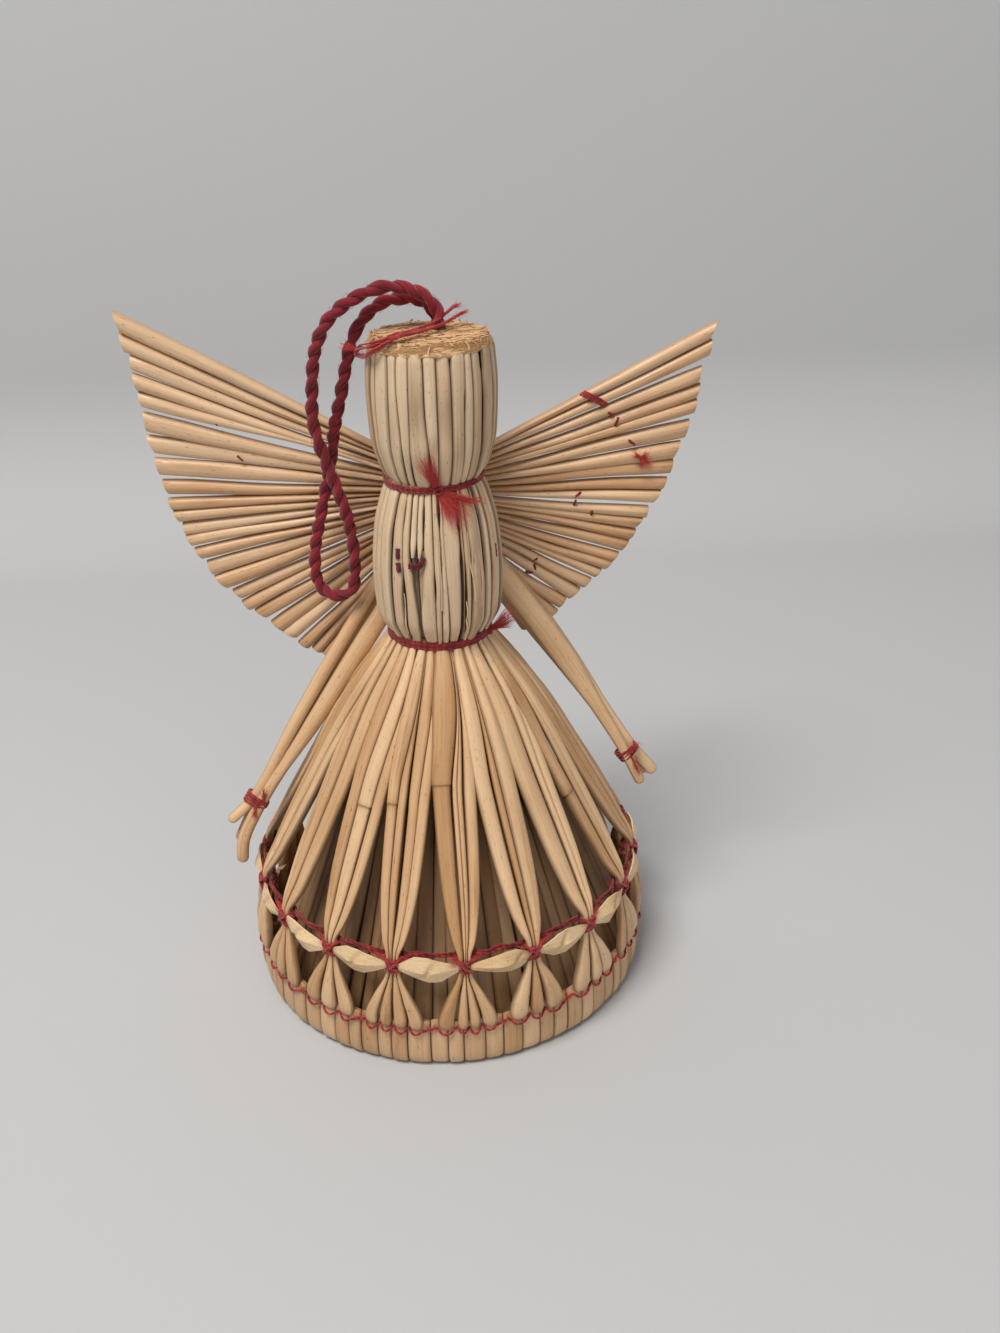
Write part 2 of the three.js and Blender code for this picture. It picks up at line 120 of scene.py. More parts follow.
def steady(xs, ys):
    """A smooth function through (x, y) pairs that doesn't overshoot them."""
    xs, ys = np.asarray(xs, float), np.asarray(ys, float)
    slope = np.diff(ys) / np.diff(xs)
    inner = np.where(slope[:-1] * slope[1:] > 0, 2 * slope[:-1] * slope[1:] / (slope[:-1] + slope[1:]
        + 1e-12), 0)
    knot = np.concatenate([[slope[0]], inner, [slope[-1]]])

    def at(x):
        x = np.clip(np.asarray(x, float), xs[0], xs[-1])
        i = np.clip(np.searchsorted(xs, x) - 1, 0, len(xs) - 2)
        h = xs[i + 1] - xs[i]
        t = (x - xs[i]) / h
        return (
            (2 * t**3 - 3 * t**2 + 1) * ys[i]
            + (t**3 - 2 * t**2 + t) * h * knot[i]
            + (3 * t**2 - 2 * t**3) * ys[i + 1]
            + (t**3 - t**2) * h * knot[i + 1]
        )

    return at


def polar(radius, degrees, z):
    turn = np.radians(degrees)
    return np.stack(np.broadcast_arrays(radius * np.sin(turn), -radius * np.cos(turn), z), -1)


def sideways(degrees):
    """Unit vectors that point round the figure, towards larger angles."""
    turn = np.radians(degrees)
    return np.stack(np.broadcast_arrays(np.cos(turn), np.sin(turn), 0.0 * turn), -1)


def unit(v):
    return v / np.maximum(np.linalg.norm(v, axis=-1, keepdims=True), 1e-9)


def waver(rng, count, reach, waves=3):
    """A slow random drift along a piece."""
    t = np.linspace(0, 1, count)
    drift = sum(rng.normal() * np.sin(TURN * (k * 0.5 * t + rng.random())) / k for k in range(1, waves + 1))
    return reach * drift


class Skin:
    """Faces of one piece, with each vertex's place in the grain and its tint.

    tint holds tone (0 pale to 1 brown), darkness (0 none to 1 dark) from real dirt and joints and from
    painted shade in seams, hollows and splits, and dye (0 none to 1 red).
    """

    def __init__(self):
        self.points, self.grain, self.tint, self.faces, self.count = [], [], [], [], 0

    def add(self, points, faces, grain, tint):
        points = np.asarray(points, float).reshape(-1, 3)
        self.points.append(points)
        self.grain.append(np.broadcast_to(grain, points.shape))
        self.tint.append(np.broadcast_to(tint, points.shape))
        self.faces += [tuple(face) for face in (np.asarray(faces) + self.count).tolist()]
        self.count += len(points)

    def loft(self, rings, grain, tint, closed=False, inward=False, caps=True):
        """Adds rings of points joined by quads, capped at both ends or joined round to the first ring."""
        rows, sides = rings.shape[:2]
        index = np.arange(rows * sides).reshape(rows, sides)
        ahead = np.roll(index, -1, axis=1)
        if closed:
            corners = (index, ahead, np.roll(ahead, -1, axis=0), np.roll(index, -1, axis=0))
        elif inward:
            corners = (index[:-1], index[1:], ahead[1:], ahead[:-1])
        else:
            corners = (index[:-1], ahead[:-1], ahead[1:], index[1:])
        first, last = (self.count + index[0]).tolist(), (self.count + index[-1]).tolist()
        self.add(rings, np.stack(corners, -1).reshape(-1, 4), grain, tint)
        if caps and not closed:
            self.faces += [tuple(first if inward else first[::-1]), tuple(last[::-1] if inward else last)]

    def make(self, name, material, replaces=(), leans=True, sharp=48):
        points = np.vstack(self.points)
        if leans:
            points = points + points[:, 2:] * LEAN
        mesh = bpy.data.meshes.new(name)
        mesh.from_pydata((points * MM).tolist(), [], self.faces)
        for title, values in (("grain", self.grain), ("tint", self.tint)):
            layer = mesh.attributes.new(title, "FLOAT_VECTOR", "POINT")
            layer.data.foreach_set("vector", np.vstack(values).astype(np.float32).ravel())
        mesh.shade_smooth()
        mesh.set_sharp_from_angle(angle=math.radians(sharp))
        piece = bpy.data.objects.new(name, mesh)
        bpy.context.scene.collection.objects.link(piece)
        mesh.materials.append(material)
        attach(piece, "root")
        if replaces:
            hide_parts(*replaces)
        return piece


def tube(skin, path, wide, thick, side, rng, tone=0.4, sides=14, square=2.6, ends=("flat", "flat"),
         dirt_and_shade=0.0, dye=0.0, lumps=0.05, slant=(0.0, 0.0), seam_shade=0.35, hollow=2.2):
    """A stem: an oval of half sizes wide and thick, swept along a path, with closed or hollow ends."""
    path = np.asarray(path, float)
    count = len(path)
    wide, thick, dirt_and_shade, dye, tone = (np.broadcast_to(np.asarray(v, float), (count,))
                                    for v in (wide, thick, dirt_and_shade, dye, tone))
    along = unit(np.gradient(path, axis=0))
    side = np.broadcast_to(side, path.shape)
    across = unit(side - (side * along).sum(1, keepdims=True) * along)
    up = np.cross(along, across)
    turn = np.arange(sides) * TURN / sides
    round_x = np.sign(np.cos(turn)) * np.abs(np.cos(turn)) ** (2 / square)
    round_y = np.sign(np.sin(turn)) * np.abs(np.sin(turn)) ** (2 / square)
    run = np.concatenate([[0], np.cumsum(np.linalg.norm(np.diff(path, axis=0), axis=1))])
    phase = rng.random(3) * TURN
    lump = 1 + lumps * (
        np.cos(3 * turn[None] + phase[0] + 0.04 * run[:, None])
        + 0.7 * np.cos(5 * turn[None] + phase[1] - 0.03 * run[:, None])
        + 0.4 * np.sin(0.35 * run[:, None] + phase[2])
    )
    x = wide[:, None] * round_x[None]
    y = thick[:, None] * round_y[None] * lump
    # Painted shade: each stem is darkened towards its two side edges, where it meets its neighbours.
    painted_seam_shade = seam_shade * smooth(0.80, 1.0, np.abs(np.cos(turn)))
    seed = rng.random(3) * np.array([40.0, 40.0, 300.0])
    rings, grains, tints = [], [], []

    def lay(at, scale=1.0, shift=0.0, slanted=0.0, dark=0.0):
        """A ring at a distance along the stem, scaled about its middle and moved on by shift."""
        near = int(np.clip(np.searchsorted(run, at), 0, count - 1))
        place = np.array([np.interp(at, run, path[:, k]) for k in range(3)]) + along[near] * shift
        flat_x, flat_y = x[near] * scale, y[near] * scale
        spread = across[near] * flat_x[:, None] + up[near] * flat_y[:, None]
        rings.append(place + spread + along[near] * (flat_x * slanted)[:, None])
        grains.append(np.stack([flat_x, flat_y, np.full(sides, at + shift)], 1) + seed)
        shade = np.maximum(np.clip(dirt_and_shade[near] + painted_seam_shade, 0, 1), dark)
        tints.append(np.stack([np.full(sides, tone[near]), shade, np.full(sides, dye[near])], 1))

    def end(at, kind, slanted, sign):
        """Rings past the last full ring, out to where the end closes."""
        if kind == "round":
            near = 0 if sign < 0 else count - 1
            reach = min(thick[near] * 1.3, wide[near])
            return [(at, math.cos(a), sign * reach * math.sin(a), 0.0, 0.0) for a in np.radians((28, 52, 74))]
        if kind == "hollow":
            # Painted shade: the last value of each ring darkens the rim and the inside of a hollow end, most
            # at its depth.
            back = [(0.0, 0.80, 0.30), (0.4, 0.76, 0.7), (hollow, 0.6, 1.0)]
            return [(at, 0.975, sign * 0.04, slanted, 0.1)] + [
                (at - sign * d, w, 0.0, slanted, dark) for d, w, dark in back]
        return []

    for step in reversed(end(0.0, ends[0], slant[0], -1)):
        lay(*step)
    for i in range(count):
        lay(run[i], slanted=slant[0] if i == 0 else slant[1] if i == count - 1 else 0.0)
    for step in end(run[-1], ends[1], slant[1], 1):
        lay(*step)

    skin.loft(np.stack(rings), np.vstack(grains), np.vstack(tints))


def rings_round(path, across, up, reach, turn, run):
    """Rings round a path, with a reach for each point and turn, and the grain that runs along them."""
    flat_x, flat_y = reach * np.cos(turn), reach * np.sin(turn)
    rings = path[:, None] + across[:, None] * flat_x[..., None] + up[:, None] * flat_y[..., None]
    return rings, np.stack(np.broadcast_arrays(flat_x, flat_y, run[:, None]), -1)


def thread(skin, path, radius, rng, pitch=2.4, spacing=0.25, sides=8, closed=False, tone=0.5):
    """Two softly twisted strands of thread as one two-lobed skin along a path."""
    if closed:
        path = np.vstack([path, path[:1]])
    path = curve(path, spacing=spacing)
    if closed:
        path = path[:-1]
    count = len(path)
    if closed:
        along = unit(np.roll(path, -1, axis=0) - np.roll(path, 1, axis=0))
    else:
        along = unit(np.gradient(path, axis=0))
    side = np.array([0.3, 0.2, 1.0])
    across = unit(side - (along @ side)[:, None] * along)
    up = np.cross(along, across)
    run = np.arange(count) * spacing
    twist = run * TURN / pitch
    if closed:
        twist = np.arange(count) * TURN * round(count * spacing / pitch) / count
    turn = np.arange(sides) * TURN / sides
    lobe = 0.88 + 0.14 * np.cos(2 * (turn[None] - twist[:, None]))
    size = radius * (1 + 0.07 * np.sin(run * 1.3 + rng.random() * 9))
    reach = size[:, None] * lobe
    rings, grain = rings_round(path, across, up, reach, turn, run)
    # Painted shade in the grooves between the two strands.
    groove_shade = 0.7 * (1.02 - lobe) / 0.28
    grain = grain + rng.random(3) * 50
    tint = np.stack([tone + 0.25 * np.sin(twist[:, None] * 0.5 + turn[None]), groove_shade,
                     np.zeros_like(groove_shade)], -1)
    skin.loft(rings, grain.reshape(-1, 3), tint.reshape(-1, 3), closed=closed)


def fibre(skin, line, size, rng, tone=0.6):
    """One fine fibre along a line of points."""
    count = len(line)
    along = unit(np.gradient(line, axis=0))
    across = unit(np.cross(along, rng.normal(size=3)))
    up = np.cross(along, across)
    corner = np.arange(3) * TURN / 3
    reach = (size * np.linspace(1.0, 0.55, count))[:, None, None]
    ring = line[:, None] + reach * (across[:, None] * np.cos(corner)[None, :, None]
                                    + up[:, None] * np.sin(corner)[None, :, None])
    skin.loft(ring, rng.random(3) * 50, [tone, 0.1 * rng.random(), 0])


def tuft(skin, root, end, spread, rng, fibres=70, thickness=0.05, curl=0.5, flatten=None):
    """A frayed thread end: fine fibres that leave one point and spread towards another."""
    root, end = np.asarray(root, float), np.asarray(end, float)
    axis = end - root
    length = np.linalg.norm(axis)
    t = np.linspace(0, 1, 7)[:, None]
    for _ in range(fibres):
        off = rng.normal(size=3) * spread
        if flatten is not None:
            off -= np.dot(off, flatten) * np.asarray(flatten) * 0.75
        reach = rng.uniform(0.5, 1.12)
        bend = rng.normal(size=3) * curl * length * 0.12
        start = root + 0.12 * rng.normal(size=3)
        line = start + axis * reach * t + off * (t**1.4) * reach + bend * np.sin(math.pi * t) * t
        fibre(skin, line, thickness * rng.uniform(0.7, 1.3), rng, rng.uniform(0.4, 1.0))


# ---------------------------------------------------------------- materials


class Wire:
    """An output of a material's node. Arithmetic on it adds Math nodes."""

    def __init__(self, tree, socket=None):
        self.tree, self.socket = tree, socket

    def node(self, kind, settings=None, inputs=None, output=0):
        """Adds a node: its settings first, then values or wires for its sockets."""
        made = self.tree.nodes.new(kind)
        for name, value in (settings or {}).items():
            if name == "stops":
                ramp = made.color_ramp.elements
                while len(ramp) < len(value):
                    ramp.new(0.5)
                for element, (place, colour) in zip(ramp, value):
                    element.position = place
                    element.color = (*colour, 1.0)
            else:
                setattr(made, name, value)
        for name, value in (inputs or {}).items():
            if isinstance(value, Wire):
                self.tree.links.new(value.socket, made.inputs[name])
            else:
                made.inputs[name].default_value = value
        return Wire(self.tree, made.outputs[output])

    def maths(self, operation, first, second=0.0):
        return self.node("ShaderNodeMath", {"operation": operation}, {0: first, 1: second})

    def __add__(self, other):
        return self.maths("ADD", self, other)

    def __radd__(self, other):
        return self.maths("ADD", other, self)

    def __sub__(self, other):
        return self.maths("SUBTRACT", self, other)

    def __rsub__(self, other):
        return self.maths("SUBTRACT", other, self)

    def __mul__(self, other):
        return self.maths("MULTIPLY", self, other)

    def __rmul__(self, other):
        return self.maths("MULTIPLY", other, self)

    def limited(self, low=0.0, high=1.0):
        return self.node("ShaderNodeMapRange", {"clamp": True}, {0: self, 1: low, 2: high, 3: 0.0, 4: 1.0})

    def noise(self, place, stretch, detail=2.0, roughness=0.5):
        """Noise from -0.5 to 0.5 at a place in the grain, finer where stretch is larger."""
        scaled = self.node("ShaderNodeVectorMath", {"operation": "MULTIPLY"}, {0: place, 1: stretch})
        raw = self.node("ShaderNodeTexNoise", {}, {"Vector": scaled, "Scale": 1.0, "Detail": detail,
            "Roughness": roughness})
        return raw - 0.5

    def blend(self, share, first, second, kind="MIX"):
        """Mixes two colours."""
        return self.node(
            "ShaderNodeMix", {"data_type": "RGBA", "blend_type": kind, "clamp_factor": True},
            {"Factor": share, 6: first, 7: second}, output=2,
        )

    def scaled(self, colour, amount):
        """A colour made lighter or darker by a value."""
        return self.node("ShaderNodeVectorMath", {"operation": "SCALE"}, {0: colour, "Scale": amount})


def new_material(name):
    material = bpy.data.materials.new(name)
    material.use_nodes = True
    tree = material.node_tree
    return material, tree, tree.nodes["Principled BSDF"], Wire(tree)


def feed(tree, shader, inputs):
    for name, value in inputs.items():
        if isinstance(value, Wire):
            tree.links.new(value.socket, shader.inputs[name])
        else:
            shader.inputs[name].default_value = value


def straw_material(name, pale, golden, brown, gloss, patchy=1.0):
    """Dried stem skin: long fine fibres, warm patches, brown flecks, and painted shade in hollows and splits.
    """
    material, tree, shader, wire = new_material(name)
    place = wire.node("ShaderNodeAttribute", {"attribute_name": "grain"}, output=1)
    tint = wire.node("ShaderNodeAttribute", {"attribute_name": "tint"}, output=1)
    split = wire.node("ShaderNodeSeparateXYZ", {}, {0: tint})
    tone = split
    dirt_and_shade = Wire(tree, split.socket.node.outputs[1])
    dye = Wire(tree, split.socket.node.outputs[2])
    bands = wire.noise(place, (2.2, 2.2, 0.035), 2.0)
    fibres = wire.noise(place, (9.0, 9.0, 0.09), 3.0, 0.65)
    fine = wire.noise(place, (26.0, 26.0, 0.5), 2.0)
    patches = wire.noise(place, (0.25, 0.25, 0.06), 2.0)
    flecks = wire.noise(place, (5.0, 5.0, 0.8), 1.0)
    warmth = (tone + 1.1 * patchy * patches + 0.75 * bands).limited(0.0, 1.0)
    skin = wire.blend(warmth, (*pale, 1), (*golden, 1))
    stain = (1.9 * patches + 1.2 * bands + 0.3 * tone).limited(0.42, 0.95)
    skin = wire.blend(0.6 * patchy * stain, skin, (*brown, 1))
    skin = wire.blend(0.75 * flecks.limited(0.19, 0.27), skin, (*[0.55 * c for c in brown], 1))
    skin = wire.scaled(skin, 1 + 0.55 * fibres + 0.3 * fine)
    # Painted shade and real dirt: the tint's second value darkens towards dark brown. It holds painted shade
    # in seams, hollow ends, splits and the core, and real dark joints and stains.
    skin = wire.blend(dirt_and_shade, skin, (*[0.22 * c for c in brown], 1))
    skin = wire.blend(0.85 * dye, skin, (0.42, 0.035, 0.04, 1))
    rough = (gloss + 0.25 * fibres - 0.12 * patches + 0.3 * dirt_and_shade).limited(0.0, 1.0)
    height = 0.6 * fibres + 0.3 * fine + 0.5 * bands
    bump = wire.node("ShaderNodeBump", {}, {"Strength": 0.35, "Distance": 0.00012, "Height": height})
    feed(tree, shader, {"Base Color": skin, "Roughness": rough, "Normal": bump, "Specular IOR Level": 0.45})
    return material


def thread_material(name, bright, dark, rough):
    """Twisted cotton: fibres that catch light, with painted shade in the grooves between the strands."""
    material, tree, shader, wire = new_material(name)
    place = wire.node("ShaderNodeAttribute", {"attribute_name": "grain"}, output=1)
    tint = wire.node("ShaderNodeAttribute", {"attribute_name": "tint"}, output=1)
    split = wire.node("ShaderNodeSeparateXYZ", {}, {0: tint})
    tone = split
    groove_shade = Wire(tree, split.socket.node.outputs[1])
    fibres = wire.noise(place, (9.0, 9.0, 2.2), 3.0, 0.7)
    patches = wire.noise(place, (0.5, 0.5, 0.35), 2.0)
    share = (0.25 + 0.75 * tone + 1.3 * patches + 1.2 * fibres - 0.5 * groove_shade).limited(0.0, 1.0)
    colour = wire.blend(share, (*dark, 1), (*bright, 1))
    # Painted shade: the tint's second value darkens the grooves between the strands.
    colour = wire.blend(0.7 * groove_shade, colour, (*[0.35 * c for c in dark], 1))
    bump = wire.node("ShaderNodeBump", {}, {"Strength": 0.5, "Distance": 0.00015, "Height": fibres})
    feed(tree, shader, {"Base Color": colour, "Roughness": rough, "Normal": bump,
                        "Sheen Weight": 0.25, "Sheen Roughness": 0.5, "Specular IOR Level": 0.25})
    return material


SKIRT_STRAW = straw_material("skirt_straw", (0.73, 0.485, 0.275), (0.50, 0.275, 0.12),
                             (0.27, 0.12, 0.045), 0.40)
PALE_STRAW = straw_material("pale_straw", (0.74, 0.56, 0.37), (0.55, 0.37, 0.215), (0.30, 0.17, 0.085),
                            0.42, 0.9)
WING_STRAW = straw_material("wing_straw", (0.74, 0.51, 0.315), (0.55, 0.31, 0.15), (0.32, 0.15, 0.055), 0.34)
MATTED_STRAW = straw_material("matted_straw", (0.68, 0.44, 0.24), (0.56, 0.32, 0.145), (0.36, 0.18, 0.07),
                              0.6, 1.0)
RIBBON_STRAW = straw_material("ribbon_straw", (0.80, 0.58, 0.34), (0.60, 0.37, 0.17), (0.40, 0.21, 0.08),
                              0.28, 0.8)
RED_THREAD = thread_material("red_thread", (0.60, 0.055, 0.045), (0.19, 0.010, 0.014), 0.8)
CRIMSON_CORD = thread_material("crimson_cord", (0.34, 0.018, 0.028), (0.095, 0.005, 0.012), 0.85)


# ---------------------------------------------------------------- camera, then the cord

CAMERA_PLACE = np.array([0.0, -219.2, 178.3])
CAMERA_PITCH, CAMERA_YAW, CAMERA_ROLL = (math.radians(a) for a in (27.39, 3.20, -1.57))
FOCAL_SHARE = 1259 / 1333  # focal length over the frame's height


def make_camera():
    cos_pitch, sin_pitch = math.cos(CAMERA_PITCH), math.sin(CAMERA_PITCH)
    forward = Vector((math.sin(CAMERA_YAW) * cos_pitch, math.cos(CAMERA_YAW) * cos_pitch, -sin_pitch))
    right = Vector((math.cos(CAMERA_YAW), -math.sin(CAMERA_YAW), 0))
    up = right.cross(forward)
    level_right = right * math.cos(CAMERA_ROLL) + up * math.sin(CAMERA_ROLL)
    level_up = up * math.cos(CAMERA_ROLL) - right * math.sin(CAMERA_ROLL)
    data = bpy.data.cameras.new("camera")
    data.sensor_width = 36
    data.lens = data.sensor_width * FOCAL_SHARE
    data.clip_start = 0.01
    camera = bpy.data.objects.new("camera", data)
    bpy.context.scene.collection.objects.link(camera)
    pose = Matrix((level_right, level_up, -forward)).transposed().to_4x4()
    pose.translation = Vector(CAMERA_PLACE * MM)
    camera.matrix_world = pose
    bpy.context.scene.camera = camera


make_camera()

# From its foot in the head's top, over and down beside the head, round the fold and back.
CORD_ROUTE = [
    (3.3, 2.0, 130.3), (3.3, 2.0, 132.6), (2.2, 2.0, 134.8), (-0.6, 2.0, 136.7),
    (-5.5, 2.0, 137.5), (-11.2, 2.2, 135.6), (-15.9, 2.8, 131.9), (-18.4, 3.4, 127.0),
    (-19.6, 4.0, 120.2), (-20.0, 4.5, 113.5), (-18.8, 4.9, 107.4), (-16.8, 5.0, 100.7),
    (-15.3, 5.0, 94.7), (-14.7, 5.1, 88.4), (-15.0, 5.4, 82.6), (-15.5, 5.6, 80.5),
    (-16.9, 6.2, 79.0), (-18.8, 6.9, 78.5), (-20.7, 7.6, 79.0), (-22.1, 8.2, 80.5),
    (-22.6, 8.4, 82.6), (-22.2, 8.6, 88.0), (-20.9, 8.6, 93.6), (-19.1, 8.4, 100.1),
    (-17.5, 7.9, 106.4), (-16.4, 7.2, 112.2), (-14.9, 6.4, 117.6), (-13.3, 5.7, 123.8),
    (-11.5, 5.2, 129.0), (-8.8, 5.0, 132.6), (-5.4, 5.0, 134.6), (-1.5, 5.0, 134.9),
    (0.3, 5.0, 134.5), (1.8, 5.0, 133.6), (2.8, 5.0, 132.1), (3.1, 5.0, 130.3),
]
CORD_PITCH = 7.0  # one full turn of the two strands
CORD_STEP = 0.25


def carried_frame(path):
    """Directions across a path that turn as little as they can."""
    along = unit(np.gradient(path, axis=0))
    across = np.zeros_like(path)
    across[0] = unit(np.cross(along[0], [0.2, 1.0, 0.1]))
    for i in range(1, len(path)):
        across[i] = unit(across[i - 1] - np.dot(across[i - 1], along[i]) * along[i])
    return along, across, np.cross(along, across)


def hanging_cord():
    """Two fuzzy strands laid together along the route."""
    rng = np.random.default_rng(11)
    route = curve(CORD_ROUTE, spacing=CORD_STEP)
    along, across, up = carried_frame(route)
    count = len(route)
    run = np.arange(count) * CORD_STEP
    wind = TURN * run / CORD_PITCH + 0.5 * np.sin(run * 0.21) + 0.25 * np.sin(run * 0.57 + 1)
    skin = Skin()
    sides = 20
    turn = np.arange(sides) * TURN / sides
    for strand in range(2):
        phase = wind + math.pi * strand
        swell = 1 + 0.06 * np.sin(run * 0.9 + 2 * strand) + 0.04 * np.sin(run * 2.3 + strand)
        radius = 0.76 * swell
        centre = route + 0.47 * (across * np.cos(phase)[:, None] + up * np.sin(phase)[:, None])
        direction = unit(np.gradient(centre, axis=0))
        out = unit(centre - route - ((centre - route) * direction).sum(1, keepdims=True) * direction)
        over = np.cross(direction, out)
        yarn = 7 * turn[None] + (TURN / 2.6) * run[:, None] + 1.7 * strand
        ridge = np.abs(np.sin(yarn / 2))
        reach = radius[:, None] * (0.93 + 0.09 * ridge)
        rings, grain = rings_round(centre, out, over, reach, turn, run)
        grain = grain + 30.0 * strand
        # Painted shade: each strand is darker on its side that faces the other strand and in the dips between
        # its plies.
        inward = np.clip(-np.cos(turn), 0, 1)[None] * np.ones((count, 1))
        groove_shade = np.clip(0.35 * (1 - ridge) + 0.75 * inward, 0, 1)
        # Painted highlight: the cord is lighter near its two ends on the head's top and along the lower part
        # of its loop.
        light = 0.38 + 0.4 * smooth(12, 0, run) + 0.3 * smooth(count * CORD_STEP - 22, count * CORD_STEP, run)
        light = light + 0.2 * bell(run, 92, 14)
        tint = np.stack(np.broadcast_arrays(light[:, None], groove_shade, 0.0), -1)
        skin.loft(rings, grain.reshape(-1, 3), tint.reshape(-1, 3))
    for _ in range(900):
        i = int(rng.integers(8, count - 8))
        away = unit(across[i] * rng.normal() + up[i] * rng.normal())
        root = route[i] + away * 1.05
        tip = root + away * rng.uniform(0.05, 0.4) + along[i] * rng.normal() * 0.8
        middle = (root + tip) / 2 + away * 0.12
        fibre(skin, curve([root, middle, tip], 4), 0.024, rng, 0.8)
    piece = skin.make("hanging_cord_twist", CRIMSON_CORD, ["hanging_cord"], leans=False,
                      sharp=80)


hanging_cord()


# ---------------------------------------------------------------- skirt

SHARE = 360 / GROUPS
# Outside radius of the gathered straws, and half the width of a group, up the skirt.
SKIRT_OUT = steady(
    [9.2, 10.0, 11.2, 15.0, 21.4, 24.3, 30.5, 45.0, 62.0, 70.6, 74.4, 76.5],
    [HEM_RADIUS - 0.3, HEM_RADIUS + 0.4, HEM_RADIUS + 0.65, HEM_RADIUS + 0.2, GATHER_RADIUS,
     GATHER_RADIUS - 0.1, 35.9, 28.1, 18.5, 12.2, 9.5, 8.0],
)
GROUP_HALF = steady([9.2, 11.0, 16.0, 20.6, 22.9, 25.0, 27.4, 31.0, 37.0, 45.0, 55.0, 62.0, 76.5],
                    [5.9, 5.9, 3.9, 1.5, 1.2, 1.35, 2.3, 3.1, 3.75, 4.0, 4.05, 3.6, 1.0])
# How wide the straws of a group are, side by side, at its middle and at the waist.
GROUP_WIDTHS = {
    0: ((1.75, 0.45, 0.5, 1.15), (1.0, 0.05, 0.05, 0.1)), 1: ((1.15, 0.5, 1.3), (0.55, 0.05, 0.45)),
    2: ((1.6, 0.55, 0.9), (0.65, 0.35, 0.03)), 3: ((1.3, 0.6, 1.1), (0.6, 0.05, 0.4)),
    17: ((1.05, 0.75, 0.9, 1.0), (0.55, 0.05, 0.45, 0.05)), 16: ((1.2, 1.5, 1.0), (0.5, 0.5, 0.05)),
    15: ((0.9, 1.0, 1.35), (0.05, 0.45, 0.55)), 14: ((1.3, 1.2, 0.9), (0.5, 0.5, 0.05)),
}
# Stem joints that show: group, straw and height.
STEM_JOINTS = {(17, 0): 49.0, (16, 1): 47.5, (0, 0): 52.5, (3, 0): 44.0, (8, 1): 50.0, (11, 2): 38.0}


def slots(weights):
    """Centres and half widths, from -1 to 1, of things side by side, given their weights."""
    weights = np.asarray(weights, float)
    edges = 2 * np.concatenate([0 * weights[:1], np.cumsum(weights / weights.sum(0), 0)]) - 1
    return (edges[1:] + edges[:-1]) / 2, (edges[1:] - edges[:-1]) / 2


def gathered_straws(skin, index, middle, weights, waist_weights, rng):
    """Straws from the waist to the pinch, and fanned out again down to the hem stitch."""
    joints = [height for (group, _), height in STEM_JOINTS.items() if group == index]
    upper = np.concatenate([np.linspace(76.3, 66, 14), np.linspace(65, 31, 28), np.linspace(29.8, 20.2, 15)]
                           + [joint + np.linspace(-0.7, 0.7, 8) for joint in joints])
    heights = np.concatenate([np.unique(upper)[::-1], np.linspace(19.4, 12.2, 8), np.linspace(11.4, 9.5, 6)])
    weights, waist_weights = np.array(weights)[:, None], np.array(waist_weights)[:, None]
    fan = smooth(23.5, 17, heights)
    waist = smooth(50, 69, heights)
    mixed = (weights / weights.sum() * (1 - waist) + waist_weights / waist_weights.sum() * waist) * (1 - fan)
    mixed = mixed + (0.45 * weights / weights.sum() + 0.55 / len(weights)) * fan
    centres, halves = slots(mixed)
    group = np.minimum(GROUP_HALF(heights), np.radians(SHARE / 2) * SKIRT_OUT(heights))
    squeeze = bell(heights, GATHER_HEIGHT, 2.4)
    hem = []
    for k, (centre, half) in enumerate(zip(centres, halves)):
        wander = waver(rng, len(heights), 0.14) * smooth(74, 62, heights) * smooth(24, 34, heights)
        offset = group * centre + wander
        rounding = np.sqrt(np.clip(1 - ((11.2 - heights).clip(0) / 2.2) ** 2, 0.1, 1))
        full = 0.95 if k % 2 else 1.02
        wide = np.maximum(group * half * (full * (1 - fan) + 0.90 * fan) * rounding, 0.1)
        buried = np.clip(1 - waist_weights[k, 0] / waist_weights.max() * 3.5, 0, 1) * waist
        thick = np.clip(0.95 * wide, 0.6, 1.12) + 0.08 * rng.normal() * (1 - squeeze)
        thick = np.clip(thick + 0.35 * squeeze, 0.5, 1.15) * (1 - 0.35 * smooth(11.6, 9.3, heights))
        lift = (0.3 * (k % 2) - 0.15 + 0.1 * rng.normal()) * (1 - squeeze) * (1 - 0.6 * fan)
        # Painted highlight: the term at the waist makes the straws paler on their tops just below the tie.
        tone = np.clip(0.48 + 0.30 * rng.normal(), 0.0, 1.0) - 0.35 * smooth(66, 73, heights)
        # Painted shade: the straws are darker at the pinch under the gathering thread.
        dirt_and_shade = 0.08 * squeeze
        if (index, k) in STEM_JOINTS:
            joint = STEM_JOINTS[index, k]
            wide = wide * (1 - 0.11 * smooth(joint + 0.3, joint - 0.3, heights)
                           + 0.05 * bell(heights, joint, 0.4))
            thick = thick * (1 - 0.12 * smooth(joint + 0.3, joint - 0.3, heights))
            dirt_and_shade = dirt_and_shade + 0.6 * bell(heights, joint - 0.1, 0.16)
            tone = tone + 0.5 * bell(heights, joint, 0.9)
        radius = SKIRT_OUT(heights) - thick + lift - 1.1 * buried
        angle = middle + np.degrees(offset / radius)
        tilt = np.radians(rng.normal() * 7) * (1 - squeeze)
        side = sideways(angle) * np.cos(tilt)[:, None] + polar(1.0, angle, 0.0) * np.sin(tilt)[:, None]
        tube(skin, polar(radius, angle, heights), wide, thick, side, rng, tone, sides=16, square=2.15,
             dirt_and_shade=dirt_and_shade, lumps=0.045, ends=("flat", "round"), seam_shade=0.62)
        hem.append((angle[-1], np.degrees(wide[-7] / radius[-1])))
    return hem


